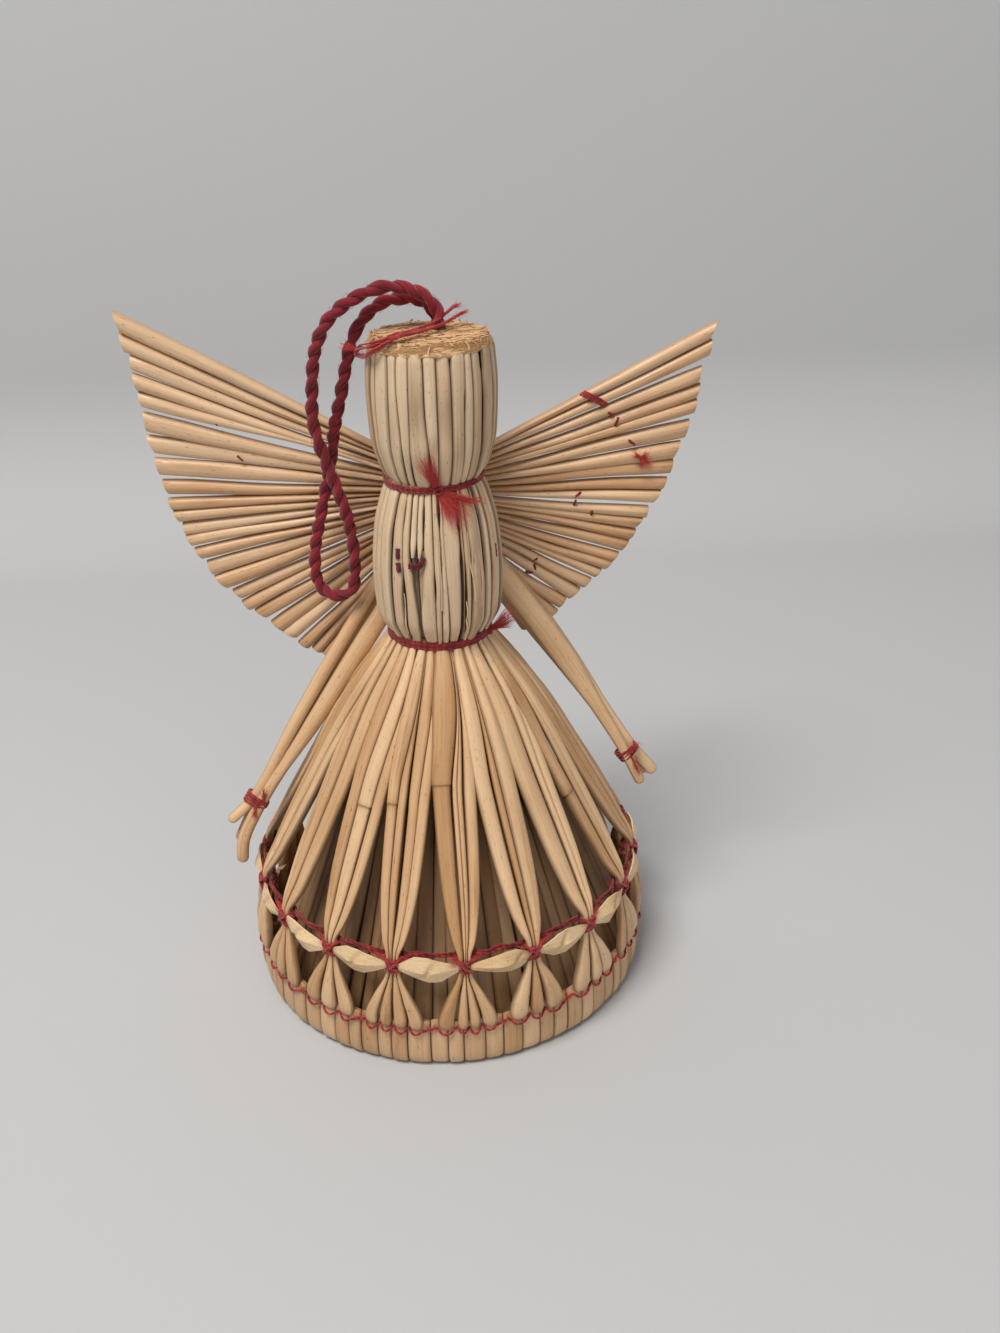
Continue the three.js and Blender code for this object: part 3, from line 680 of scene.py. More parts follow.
def folded_straws(skin, middle, rng, straws=4):
    """Straws that go down as the flat hem band, turn under and go straight up inside as a lining."""
    down = [(HEM_RADIUS - inset, z) for inset, z in
            ((1.2, 10.6), (0.72, 8.6), (0.42, 5.5), (0.42, 2.4), (0.78, 0.98), (1.55, 0.45),
             (2.3, 0.98), (2.6, 2.4))]
    inside = [(LINING_FOOT - (z - 3.0) * LINING_SLOPE, z) for z in np.linspace(6, 70, 17)]
    profile = curve(down + inside, spacing=1.15)
    radii, heights = profile.T
    run = np.arange(len(radii)) * 1.15
    centres, halves = slots(1 + 0.22 * rng.normal(size=straws).clip(-1.6, 1.6))
    inner = smooth(11, 15, run)
    for centre, half in zip(centres, halves):
        share = np.radians(SHARE / 2) * radii
        wander = waver(rng, len(run), 0.25) * inner
        wide = share * half * (0.975 - 0.03 * inner) + 0.1 * inner
        thick = 0.45 + 0.3 * inner
        angle = middle + np.degrees((share * centre + wander) / radii)
        # Painted shade: the lining inside the skirt is browner and darker than the hem band, from where it
        # turns up inside.
        tone = np.clip(0.55 + 0.2 * rng.normal(), 0.1, 0.95) + 0.3 * inner
        dirt_and_shade = (0.46 + 0.12 * rng.random()) * smooth(10, 15, run)
        place = polar(radii + 0.1 * rng.normal(), angle, heights)
        tube(skin, place, wide, thick, sideways(angle), rng, tone, sides=12, square=2.7, dirt_and_shade=dirt_and_shade,
             lumps=0.04, seam_shade=0.55)


def skirt_group(index):
    """One gathered group with its hem band and lining."""
    rng = np.random.default_rng(100 + index)
    middle = FIRST_GROUP + index * SHARE
    chance = 1 + 0.28 * rng.normal(size=int(rng.choice([3, 4, 4]))).clip(-1.3, 1.5)
    waist = np.where(np.arange(len(chance)) % 2, 0.05, 0.5)
    widths, waist_widths = GROUP_WIDTHS.get(index, (chance, waist))
    skin = Skin()
    hem = gathered_straws(skin, index, middle, widths, waist_widths, rng)
    folded_straws(skin, middle, rng)
    number = f"{index + 1:02d}"
    skin.make(f"skirt_group_{number}", SKIRT_STRAW, [f"skirt_straws_{number}"])
    return hem


fan_ends = [end for group_index in range(GROUPS) for end in skirt_group(group_index)]


# ---------------------------------------------------------------- threads and ribbon of the skirt


def hem_thread():
    """Couching thread that dips under the end of every fanned straw."""
    rng = np.random.default_rng(21)
    skin = Skin()
    path = []
    for angle, half in fan_ends:
        dip = 0.12 * rng.normal()
        for share in (-1.0, -0.7, -0.35, 0.0, 0.35, 0.7):
            height = 8.55 + dip + 1.05 * abs(share) ** 2.6
            out = 0.45 - 0.75 * abs(share) ** 3
            path.append(polar(HEM_RADIUS + out, angle + share * half, height))
    thread(skin, path, TIE_THREAD, rng, closed=True)
    for (angle, half), (following, next_half) in zip(fan_ends, fan_ends[1:] + fan_ends[:1]):
        gap = (following - angle) % 360 - half - next_half
        if gap > 1.2:
            turn = angle + half + gap / 2
            for shift in (-0.35, 0.4):
                tip = polar(HEM_RADIUS - 0.2, turn + shift * gap, 11.0 + 0.4 * rng.normal())
                tuft(skin, polar(HEM_RADIUS + 0.1, turn + shift * 0.5, 9.3), tip, 0.25, rng, fibres=9)
    skin.make("hem_couching", RED_THREAD, ["hem_thread"], sharp=80)


def knot_wrap(middle, height, rng, lift=0.0, half=1.42):
    """One turn of thread round a gathered group."""
    turn = np.arange(14) * TURN / 14
    across = np.degrees(half * np.sin(turn) / GATHER_RADIUS)
    out = GATHER_RADIUS - 1.15 + 1.52 * np.cos(turn)
    rise = height + lift * np.sin(turn) + 0.06 * rng.normal(size=14)
    return polar(out, middle + across, rise)


def gather_thread():
    """Thread wound round each group, and its run behind the groups from one to the next."""
    rng = np.random.default_rng(22)
    skin = Skin()
    run = []
    for index in range(GROUPS):
        middle = FIRST_GROUP + index * SHARE
        for height, lift in ((24.1, 0.12), (23.6, -0.15), (22.2, 0.18), (21.75, -0.1)):
            thread(skin, knot_wrap(middle, height, rng, lift=lift + 0.12 * rng.normal()), TIE_THREAD, rng,
                   closed=True, tone=0.35)
        strands = [(1.0, 0.0)] if index in (0, 5, 9, 13) else [(1.0, 0.1), (-1.0, -0.1)]
        for slope, shift in strands:
            steps = ((-2.6, 24.75, -0.9), (-1.5, 23.9, 0.4), (0.0, 22.95, 0.68), (1.5, 22.0, 0.4),
                     (2.6, 21.2, -0.9))
            across = [polar(GATHER_RADIUS + out, middle + slope * turn + shift, height)
                      for turn, height, out in steps]
            thread(skin, across, TIE_THREAD, rng, tone=0.45)
        for turn, radius, height in ((-3.4, 37.3, 24.7), (0.0, 36.6, 24.5), (3.4, 37.3, 24.8),
                                     (7.0, 37.9, 25.35), (10.0, 38.0, 25.5), (13.0, 37.9, 25.3)):
            run.append(polar(radius, middle + turn, height + 0.12 * rng.normal()))
    # Painted shade: the run behind the groups gets a low tone, so it is darker than the knots.
    for drop, size, tone in ((0.0, 0.28, 0.15), (-0.42, 0.26, 0.1), (0.36, 0.2, 0.1)):
        loose = np.array(run) + [0, 0, drop] + 0.09 * rng.normal(size=(len(run), 3))
        thread(skin, loose, size, rng, closed=True, tone=tone)
    behind = curve(run, spacing=0.6)
    for _ in range(700):
        i = int(rng.integers(2, len(behind) - 2))
        root = behind[i] + 0.2 * rng.normal(size=3)
        tip = root + [0.7 * rng.normal(), 0.3 * rng.normal(), 0.45 * rng.normal() + 0.2]
        fibre(skin, np.stack([root, (root + tip) / 2 + 0.1 * rng.normal(size=3), tip]), 0.026, rng,
              rng.uniform(0.2, 0.9))
    outward = [polar(1.0, FIRST_GROUP + index * SHARE, 0.0) for index in range(GROUPS)]
    for index in range(GROUPS):
        middle = FIRST_GROUP + index * SHARE
        fuzz = 60 if index in (0, 15, 17) else int(rng.integers(10, 26))
        for turn in (2.4, -2.2):
            start = polar(GATHER_RADIUS - 0.1, middle + turn * 0.6, 24.1)
            end = polar(GATHER_RADIUS - 0.3, middle + turn * rng.uniform(1.6, 2.8), 24.9 + 0.8 * rng.random())
            tuft(skin, start, end, 0.35, rng, fibres=fuzz, flatten=outward[index], thickness=0.04)
    skin.make("gather_knots", RED_THREAD, ["gather_thread"], sharp=80)


# How the ribbon lies between one group and the next, where it isn't flat: twist in degrees, and its fold.
RIBBON_TWISTS = {0: (16, 0.72), 1: (-34, 0.4), 2: (52, 0.5), 3: (-30, 0.5), 17: (8, 0.5), 16: (-6, 0.45),
                 15: (-26, 0.4), 14: (36, 0.5)}


def woven_ribbon():
    """A glossy split straw that bows out between the groups and passes behind each pinch."""
    rng = np.random.default_rng(23)
    skin = Skin()
    columns, rows = 48, 11
    share = np.linspace(0, 1, columns)
    level = np.linspace(-1, 1, rows)
    for index in range(GROUPS):
        middle = FIRST_GROUP + index * SHARE
        twist, fold = RIBBON_TWISTS.get(index, (14 * rng.normal(), 0.5 + 0.1 * rng.normal()))
        rise = RIBBON_HEIGHT + 0.1 * rng.normal()
        tall = RIBBON_HALF + 0.12 * rng.normal()
        shoulder = 0.10 * rng.normal()

        def half_height(peak):
            rise_to = np.minimum((share - 0.045) / (peak - 0.045),
                                 (0.955 - share) / (0.955 - peak)).clip(0, 1)
            return 0.42 + (tall - 0.42) * np.minimum(rise_to * 1.22, 0.93 + 0.07 * rise_to)

        up, down = half_height(fold - shoulder), half_height(fold + shoulder)
        belly = smooth(0.0, 0.5, share) * smooth(1.0, 0.5, share)
        out = (GATHER_RADIUS - 2.7 + 2.7 * smooth(-0.03, 0.085, share) * smooth(1.03, 0.915, share)
               + 0.45 * belly)
        turn = np.radians(twist) * (share - 0.5) * 2 * smooth(0.0, 0.2, share) * smooth(1.0, 0.8, share)
        tall_here = np.where(level > 0, up[:, None] * level, down[:, None] * level)
        roof = 1.0 * (1 - np.abs(level))[None] * belly[:, None]
        crease = share[:, None] - fold - 0.12 * level[None]
        dent = -0.45 * bell(crease, 0.0, 0.035) * (1 - np.abs(level) ** 2)[None]
        height = rise + tall_here * np.cos(turn)[:, None]
        radius = out[:, None] + roof + dent + tall_here * np.sin(turn)[:, None] * 0.6
        angle = (middle + SHARE * share)[:, None] * np.ones(rows)
        # The term along the crease is painted shade in the fold.
        tone = 0.05 + 0.5 * rng.random() + 0.35 * bell(crease, 0.0, 0.05)
        shade = 0.35 * bell(share, 0.03, 0.05) + 0.35 * bell(share, 0.97, 0.05)
        stain = (0.55 * bell(share, 0.9, 0.07) * (rng.random() < 0.35)
                 + 0.4 * bell(share, 0.08, 0.05) * (rng.random() < 0.3))
        if index in (14, 17):
            stain = 0.8 * bell(share, 0.86, 0.07)
        upper = smooth(0.0, 0.8, level)[None] * stain[:, None]
        front_and_back = [
            (polar(radius + face, angle, height), np.stack([height, radius + face, angle * 0.68], -1),
             np.stack(np.broadcast_arrays(tone, shade[:, None], upper), -1)) for face in (0.0, -0.3)
        ]
        place, grain, tint = (np.concatenate([front, back[:, ::-1]], 1)
                              for front, back in zip(*front_and_back))
        skin.loft(place, grain.reshape(-1, 3), tint.reshape(-1, 3), inward=True, caps=False)
    skin.make("woven_ribbon", RIBBON_STRAW, ["woven_band"], sharp=35)


hem_thread()
gather_thread()
woven_ribbon()


# ---------------------------------------------------------------- body

BODY_OUT = steady(
    [72.0, 73.6, 74.75, 75.8, 79.5, 87.0, 95.5, 102.3, 104.7, 107.3, 113.0, 121.0, 127.3, 129.3, 130.4],
    [7.8, 9.0, 9.4, 10.0, 11.6, 12.0, 11.3, 9.6, 8.7, 9.9, 11.3, 11.6, 11.2, 10.7, 9.9],
)
HEAD_START, HEAD_WIDTHS = -60.5, (17.9, 10.8, 10.4, 15.5, 9.3, 14.2, 12.6, 8.4, 11.4, 21.3, 15.0)
TORSO_START = -64.0
TORSO_WIDTHS = (18, 12, 6, 9.5, 6, 9, 6, 6, 13, 3, 5, 12, 6.5, 9, 7, 13, 14)
BROKEN = (-28.0, -12.5)  # the torso straws between these angles are broken off at this height
BROKEN_AT = 92.4


def fill_round(start, widths, rng, low=8.0, high=17.0):
    """Edges of straws side by side: the given widths from the start angle, then others all the way round."""
    widths = list(widths)
    while sum(widths) < 360 - high:
        widths.append(rng.uniform(low, high))
    widths.append(360 - sum(widths))
    return start + np.concatenate([[0], np.cumsum(widths)])


def seam_gap(rng, heights, reach=0.34):
    """Half the opening between two neighbours, in millimetres: mostly narrow, and wider here and there."""
    opening = waver(rng, len(heights), 1.0, waves=5)
    return 0.05 + reach * np.clip(opening - 0.4, 0, 0.8)


def bundle(skin, edges, heights, rng, ends, rim=0.0, lean_in=None, stains=()):
    """Flattened straws side by side round the body."""
    count = len(edges) - 1
    drifts = [waver(rng, len(heights), 1.3) for _ in range(count)]
    gaps = [seam_gap(rng, heights) for _ in range(count)]
    for k, (left, right) in enumerate(zip(edges, edges[1:])):
        squeeze = min(1.0, (right - left) / 12)
        body = BODY_OUT(heights)
        low = left + drifts[k] * squeeze + np.degrees(gaps[k] / body)
        high = right + drifts[(k + 1) % count] * squeeze - np.degrees(gaps[(k + 1) % count] / body)
        place = heights
        thick = 0.55 + 0.2 * rng.random()
        lift = 0.14 * rng.normal()
        tone = np.clip(0.42 + 0.26 * rng.normal(), 0.02, 0.95)
        tone, dirt_and_shade = np.full(len(heights), tone), np.zeros(len(heights))
        for angle, height, wide, tall, depth in stains:
            near = bell((left + right) / 2, angle, wide) * bell(heights, height, tall)
            tone, dirt_and_shade = tone + 2.5 * depth * near, dirt_and_shade + depth * near
        if lean_in:
            low, high, keep = lean_in(left, right, low, high, heights)
            if keep.sum() < len(heights):
                torn = np.maximum(0.0, 1 - (heights - BROKEN_AT) / 3.5) * keep
                middle, half = (low + high) / 2, (high - low) / 2 * (1 - 0.72 * torn**1.5)
                low, high = (middle - half)[keep], (middle + half)[keep]
                place, dirt_and_shade, tone, body = heights[keep], dirt_and_shade[keep], tone[keep], body[keep]
        angle, half = (low + high) / 2, np.radians((high - low) / 2)
        radius = body - thick + lift
        if lean_in and len(place) < len(heights):
            radius = radius + 0.45 * smooth(BROKEN_AT + 5, BROKEN_AT, place)
        radius = radius - rim * smooth(127.4, 129.4, place) * (1 + 0.3 * rng.normal())
        wide = half * (radius + thick)
        tilt = np.radians(rng.normal() * 7)
        side = sideways(angle) * math.cos(tilt) + polar(1.0, angle, 0.0) * math.sin(tilt)
        tube(skin, polar(radius, angle, place), wide, thick, side, rng, tone, sides=16, square=2.45,
             ends=ends, dirt_and_shade=dirt_and_shade, lumps=0.06, seam_shade=0.62)


def core(skin, heights, inset, rng):
    """A dark cylinder inside the bundle, painted shade that is seen only through its splits."""
    radius = BODY_OUT(heights) - inset
    tube(skin, np.stack([0 * heights, 0 * heights, heights], 1), radius, radius, [1.0, 0, 0], rng, 0.8,
         sides=48, square=2.0, dirt_and_shade=0.75, lumps=0.0, seam_shade=0.0)


def around_the_break(left, right, low, high, heights):
    """Straws beside the broken ones close in below the break, and the broken ones stop there."""
    below = (0.45 * smooth(BROKEN_AT + 0.3, BROKEN_AT - 3.5, heights)
             + 0.55 * smooth(BROKEN_AT - 2, 79.0, heights))
    keep = np.ones(len(heights), bool)
    if BROKEN[0] <= (left + right) / 2 <= BROKEN[1]:
        keep = heights > BROKEN_AT
    if abs(right - BROKEN[0]) < 0.6:
        high, low = high + 7.5 * below, low + 3.0 * below
    if abs(left - BROKEN[1]) < 0.6:
        low = low - 6.0 * below
    return low, high, keep


def torso():
    """Straws between the waist and neck ties, with the broken ones, those behind them and frayed slivers."""
    rng = np.random.default_rng(31)
    skin = Skin()
    heights = np.linspace(73.2, 105.1, 56)
    core(skin, heights, 1.7, rng)
    bundle(skin, fill_round(TORSO_START, TORSO_WIDTHS, rng), heights, rng, ("flat", "flat"),
           lean_in=around_the_break)
    low = np.linspace(74.0, 94.0, 20)
    # Painted shade: the last value darkens the straws behind the break, the deeper one most.
    for angle, wide, inset, dirt_and_shade in ((-23.0, 0.75, 1.5, 0.75), (-15.2, 0.62, 0.9, 0.25)):
        turn = angle + 0.07 * (94 - low)
        tube(skin, polar(BODY_OUT(low) - inset, turn, low), wide, 0.4, sideways(turn), rng, 0.95,
             dirt_and_shade=dirt_and_shade, seam_shade=0.5)
    slivers = ((26, 99, 91, 0.22), (29.5, 97, 88.5, 0.2), (31, 95.5, 84, 0.26), (34, 94.2, 87, 0.18),
               (36.5, 92.5, 85.5, 0.22),
               (33, 90, 83, 0.2), (40, 93, 82, 0.17), (-32, 86, 77.5, 0.2), (2, 96, 83, 0.15),
               (24, 84, 77, 0.18))
    for angle, top, foot, wide in slivers:
        place = np.linspace(top, foot, 12)
        turn = angle + 0.5 * waver(rng, 12, 1.0)
        lift = 0.05 + 0.3 * np.abs(waver(rng, 12, 0.8))
        tube(skin, polar(BODY_OUT(place) + lift, turn, place), wide * np.linspace(0.5, 1, 12), 0.07,
             sideways(turn), rng, 0.7, sides=6, seam_shade=0.0)
    skin.make("torso_straws", PALE_STRAW, ["straw_body"])


def head():
    """Straws from the neck tie up to the cut top, with worn stains."""
    rng = np.random.default_rng(32)
    skin = Skin()
    heights = np.concatenate([np.linspace(104.3, 126.5, 30), np.linspace(127.0, 128.6, 6)])
    core(skin, heights, 1.4, rng)
    stains = ((-13.6, 120.0, 5.0, 4.6, 0.17), (10.5, 119.0, 5.0, 5.0, 0.15), (-1.3, 113.6, 3.0, 1.6, 0.16),
              (-36.0, 116.0, 4.0, 4.0, 0.08), (24.0, 112.0, 4.0, 3.0, 0.07))
    bundle(skin, fill_round(HEAD_START, HEAD_WIDTHS, rng), heights, rng, ("flat", "flat"), rim=0.3,
           stains=stains)
    skin.make("head_straws", PALE_STRAW, ["straw_body"])


def crushed_top():
    """The cut ends on the head's top, crushed flat and matted."""
    rng = np.random.default_rng(33)
    skin = Skin()
    turns = 90
    turn = np.arange(turns) * 360 / turns
    bumps = [(rng.uniform(0, 360), rng.uniform(1, 9), rng.uniform(0.9, 2.4), rng.normal() * 0.22)
             for _ in range(50)]
    hollow_place = polar(7.2, -128.0, 0.0)
    rim = 1 + 0.012 * np.sin(np.radians(3 * turn + 40)) + 0.01 * np.sin(np.radians(7 * turn))
    profile = [(9.55 * (k / 13) ** 0.85 + 0.05, HEAD_TOP) for k in range(14)]
    profile += [(9.95, 129.6), (10.35, 129.2), (10.7, 128.75), (10.85, 128.4), (10.6, 128.15),
                (9.4, 127.2), (4.0, 126.6)]
    points, tints = [], []
    for radius, z in profile:
        flat = polar(radius, turn, 0.0)
        rise = sum(h * np.exp(-((flat - polar(r, a, 0.0)) ** 2).sum(1) / w**2) for a, r, w, h in bumps)
        rise = rise - 1.1 * np.exp(-((flat - hollow_place) ** 2).sum(1) / 2.6)
        rise = rise * smooth(10.4, 9.0, radius) + 0.05 * rng.normal(size=turns)
        points.append(polar(radius * rim + 0.05 * rng.normal(size=turns) * (radius > 2), turn,
                            z + 0.8 * rise))
        chamfer = smooth(9.4, 10.2, radius)
        # Painted light and shade: the top is paler towards the right and browner towards the front left, and
        # darker in its dips and its hollow.
        tone = (0.35 + 0.3 * rng.random(turns)
                - 0.35 * np.cos(np.radians(turn - 110)) * (1 - chamfer) * (radius / 10))
        tints.append(np.stack([tone, np.clip(0.02 - 0.75 * rise * (1 - chamfer), 0, 0.6)
                               + 0.05 * rng.random(turns), 0 * turn], 1))
    place = np.stack(points)
    skin.loft(place, (place * [0.25, 1.1, 1.4]).reshape(-1, 3), np.vstack(tints), inward=True)

    def strand(path, wide, side, tone, dirt_and_shade=0.05):
        tube(skin, path, wide, 0.045, side, rng, tone, sides=5, dirt_and_shade=dirt_and_shade * rng.random(), seam_shade=0.0, lumps=0.0)

    for _ in range(1100):
        angle, radius = rng.uniform(0, 360), 9.5 * math.sqrt(rng.random())
        middle = polar(radius, angle, 129.88 + 0.1 * rng.normal())
        turned = 0.25 * rng.normal() + 0.2 + (rng.random() < 0.22) * rng.uniform(0, 3)
        reach = rng.uniform(0.7, 2.6) * min(1.0, (10.4 - radius) / 2)
        along = np.array([math.cos(turned), math.sin(turned), 0.05 * rng.normal()]) * reach
        bow = np.array([0.1, 0.25, 0.1]) * rng.normal(size=3)
        strand(curve([middle - along, middle + bow, middle + along], 6), rng.uniform(0.05, 0.19),
               [math.sin(turned), -math.cos(turned), 0.3 * rng.normal()], rng.uniform(0.1, 0.85))
    for _ in range(520):
        start, sweep = rng.uniform(0, 360), rng.uniform(6, 30)
        level = rng.random()
        turned = start + np.linspace(0, sweep, 7)
        climb = level + np.linspace(-0.5, 0.5, 7) * rng.normal() * 0.5 + 0.03 * rng.normal(size=7)
        climb = climb.clip(-0.05, 1.05)
        radius = 10.95 - 1.15 * climb**1.3 + 0.06 * rng.normal()
        strand(polar(radius, turned, 128.35 + 1.55 * climb), rng.uniform(0.05, 0.16),
               polar(0.6, start, 1.0), rng.uniform(0.1, 0.8))
    for k in range(46):
        angle, top = rng.uniform(0, 360), 130.2 + 0.15 * rng.normal()
        if k < 20:
            angle, top = (86 + 6 * rng.normal(), 131.0) if k % 2 else (-84 + 7 * rng.normal(), 130.7)
            top = min(top + 0.35 * rng.normal(), 131.5)
        place = np.linspace(128.2, top, 7)
        turned = angle + 2.0 * waver(rng, 7, 1.0)
        radius = 10.75 - 0.75 * smooth(128.5, 130.4, place) + 0.1 * rng.normal()
        strand(polar(radius, turned, place), rng.uniform(0.1, 0.34) * np.linspace(1, 0.6, 7),
               sideways(turned), rng.uniform(0.1, 0.7))
    skin.make("crushed_head_top", MATTED_STRAW, sharp=60)


def stray_threads():
    """Ends of dark thread that show in the torso's splits."""
    rng = np.random.default_rng(34)
    skin = Skin()

    def on_body(stops, lift=0.15):
        return [polar(float(BODY_OUT(z)) + lift, angle, z) for angle, z in stops]

    for shift in (0.0, 0.5):
        thread(skin, on_body([(-26.0, 91.7 - shift), (-22.5, 91.55 - shift), (-18.5, 91.5 - shift),
                              (-14.8, 92.1 - 0.8 * shift),
                              (-12.2, 93.2 - 0.5 * shift)]), 0.40, rng, tone=-0.1)
    for shift in (0.0, 1.5):
        thread(skin, on_body([(-39.5 + shift, 94.1), (-39.2 + shift, 93.2), (-38.9 + shift, 92.2)], -0.1),
               0.34, rng, tone=-0.1)
        thread(skin, on_body([(-38.6 + shift, 91.5), (-38.0 + shift, 90.8), (-37.2 + 0.7 * shift, 89.8)],
                             -0.05), 0.36, rng, tone=-0.1)
    thread(skin, on_body([(63.5, 92.6), (64.2, 91.4), (63.8, 90.2)], 0.0), 0.36, rng, tone=0.5)
    skin.make("stray_thread_ends", CRIMSON_CORD, sharp=80)


torso()
head()
crushed_top()
stray_threads()


# ---------------------------------------------------------------- ties


def wound_tie(skin, height, radius, turns, gap, knot, rng, tilt=0.0):
    """Turns of thread round a bundle, and the knot."""
    for k in range(turns):
        turn = np.arange(40) * TURN / 40
        level = height + gap * (k - (turns - 1) / 2) + tilt * np.sin(turn)
        bulge = 0.05 * np.sin(turn + rng.random() * 6) + 0.04 * np.sin(3 * turn + rng.random() * 6)
        thread(skin, polar(radius + 0.04 * rng.normal(), np.degrees(turn), level + bulge), TIE_THREAD,
               rng, closed=True, tone=0.2)
    front = polar(radius + 0.3, knot, height)
    for _ in range(5):
        angle = rng.uniform(0, TURN)
        loop = [front + 0.7 * (math.cos(angle + t) * sideways(knot)
                               + math.sin(angle + t) * np.array([0, 0, 0.8]))
                + polar(0.45 * math.cos(t * 1.5), knot, 0) for t in (0, 1.2, 2.4, 3.6, 4.8)]
        thread(skin, loop, 0.26, rng, closed=True, tone=0.3)


def frayed_over_body(skin, start, end, spread, rng, fibres, lift=0.9):
    """Fibres that lie over the body from one angle and height to another, and lift off as they go."""
    t = np.linspace(0, 1, 9)
    for _ in range(fibres):
        reach = rng.uniform(0.45, 1.1)
        turn, rise = (start[k] + (end[k] - start[k]) * t * reach + rng.normal() * spread[k] * t**1.3
                      + stray * rng.normal() for k, stray in enumerate((1.5, 0.15)))
        bow = rng.normal() * 0.25 * np.sin(math.pi * t)
        out = 0.35 + lift * t * rng.uniform(0.2, 1.0) + bow.clip(0)
        fibre(skin, polar(BODY_OUT(rise) + out, turn, rise + bow), rng.uniform(0.02, 0.034), rng,
              rng.uniform(0.7, 1.2))


def neck_thread():
    """The neck tie, its knot and its four frayed ends."""
    rng = np.random.default_rng(41)
    skin = Skin()
    wound_tie(skin, NECK_HEIGHT, 9.0, 3, 0.36, 3.0, rng, tilt=0.2)
    for end, spread, fibres in (((-12, 110.6), (2.5, 0.9), 110), ((-4, 111.2), (2.5, 1.0), 110),
                                ((20, 98.6), (5.0, 1.2), 130), ((33, 99.8), (6.0, 1.0), 100),
                                ((48, 101.4), (6.0, 0.5), 110)):
        frayed_over_body(skin, (3.0, NECK_HEIGHT), end, spread, rng, fibres)
    skin.make("neck_thread", RED_THREAD, ["neck_tie"], sharp=80)


def waist_thread():
    """The waist tie and the brush of frayed ends at its knot."""
    rng = np.random.default_rng(42)
    skin = Skin()
    wound_tie(skin, WAIST_HEIGHT, 9.8, 4, 0.38, 68.0, rng)
    knot = polar(10.2, 68.0, WAIST_HEIGHT)
    for end in ((14.0, -6.2, 79.6), (14.6, -5.4, 78.4), (14.9, -4.6, 77.0), (14.6, -4.0, 75.8)):
        place = np.array(end) - end[2] * LEAN
        tuft(skin, knot, place, 0.55, rng, fibres=60, thickness=0.034, flatten=polar(1.0, 68.0, 0.0))
    skin.make("waist_thread", RED_THREAD, ["waist_tie"], sharp=80)


neck_thread()
waist_thread()


# ---------------------------------------------------------------- wings

# Angle of each straw above level, with the wing's reach at some of the angles.
LEFT_ANGLES = (29.4, 26.7, 24.2, 21.5, 19.0, 15.2, 11.4, 7.2, 2.8, -0.3, -2.7, -5.4,
               -8.1, -11.0, -14.7, -18.6, -23.3, -26.5, -30.3, -35.4, -39.6, -44.2, -47.5, -50.5)
LEFT_REACH = ((-50.5, 37.7), (-36.1, 40.8), (-20.2, 45.0), (-6.8, 49.1), (4.2, 52.1), (19.4, 56.8),
              (29.4, 63.8))
RIGHT_ANGLES = (25.4, 23.2, 19.4, 16.6, 13.9, 9.8, 6.0, 2.0, -1.3, -4.2, -8.1, -10.9,
                -13.9, -17.3, -21.1, -24.0, -26.9, -30.4, -35.4, -40.6, -45.1, -49.6, -54.0)
RIGHT_REACH = ((-54.0, 31.0), (-37.1, 33.6), (-23.0, 37.6), (-10.9, 41.4), (0.9, 46.1), (17.5, 54.0),
               (25.4, 59.3))


def wing(name, node, sign, angles, reaches, seed):
    rng = np.random.default_rng(seed)
    skin = Skin()
    reach_at = steady(*zip(*reaches))
    count = len(angles)
    roots = WING_HUB[2] + HUB_BAND * (0.5 - np.arange(count) / (count - 1))
    tilts = np.radians(angles)
    outs = np.stack([sign * np.cos(tilts), 0 * tilts, np.sin(tilts)], 1)
    starts = np.stack([np.full(count, WING_HUB[0]), np.full(count, WING_HUB[1]), roots], 1)
    outline = np.gradient(starts + outs * reach_at(angles)[:, None], axis=0)
    for k, angle in enumerate(angles):
        tilt, out = tilts[k], outs[k]
        over = np.array([-sign * math.sin(tilt), 0.0, math.cos(tilt)])
        reach = float(reach_at(angle)) - 0.3 + 0.3 * rng.normal()
        distance = np.concatenate([np.linspace(0.9, 16, 9), np.linspace(18, reach, 14)])
        near = [abs(math.radians(angle - angles[j])) * distance + abs(roots[k] - roots[j])
                for j in (k - 1, k + 1) if 0 <= j < count]
        spacing = np.minimum(near[0], near[-1])
        full = float(np.clip(0.49 * spacing[-1], 1.35, 1.8)) + rng.uniform(-0.12, 0.06)
        wide = np.minimum(full, np.maximum(spacing * 0.5 * 1.03, 0.34))
        thick = np.minimum(1.32, 1.32 * (full / np.maximum(wide, 0.8)) ** 0.25)
        drift = 0.25 * waver(rng, len(distance), 1.0) * smooth(4, 30, distance)
        depth = (0.12 * rng.normal() * smooth(10, 30, distance)
                 + (0.25 if k % 2 else -0.25) * smooth(24, 8, distance))
        path = starts[k] + out * distance[:, None] + over * drift[:, None]
        path[:, 1] += np.clip(depth, -0.3, 0.3)
        cut = (np.dot(outline[k], out) / np.dot(outline[k], over) + 0.12 * rng.normal()
               + (0.35 if k == 0 else 0.0))
        tone = np.clip(0.42 + 0.12 * sign + 0.28 * rng.normal(), 0.0, 1.0)
        # The straws are darker towards the root.
        dirt_and_shade = 0.25 * smooth(18, 3, distance)
        tube(skin, path, wide, np.minimum(thick, 1.4), over, rng, tone, sides=16, square=2.1, dirt_and_shade=dirt_and_shade,
             ends=("flat", "hollow"), lumps=0.04, slant=(0.0, float(np.clip(cut, -1.3, 1.3))), seam_shade=0.35)
    skin.make(name, WING_STRAW, [node], leans=False)


wing("left_wing_straws", "wing_left", -1, LEFT_ANGLES, LEFT_REACH, 51)
wing("right_wing_straws", "wing_right", 1, RIGHT_ANGLES, RIGHT_REACH, 52)


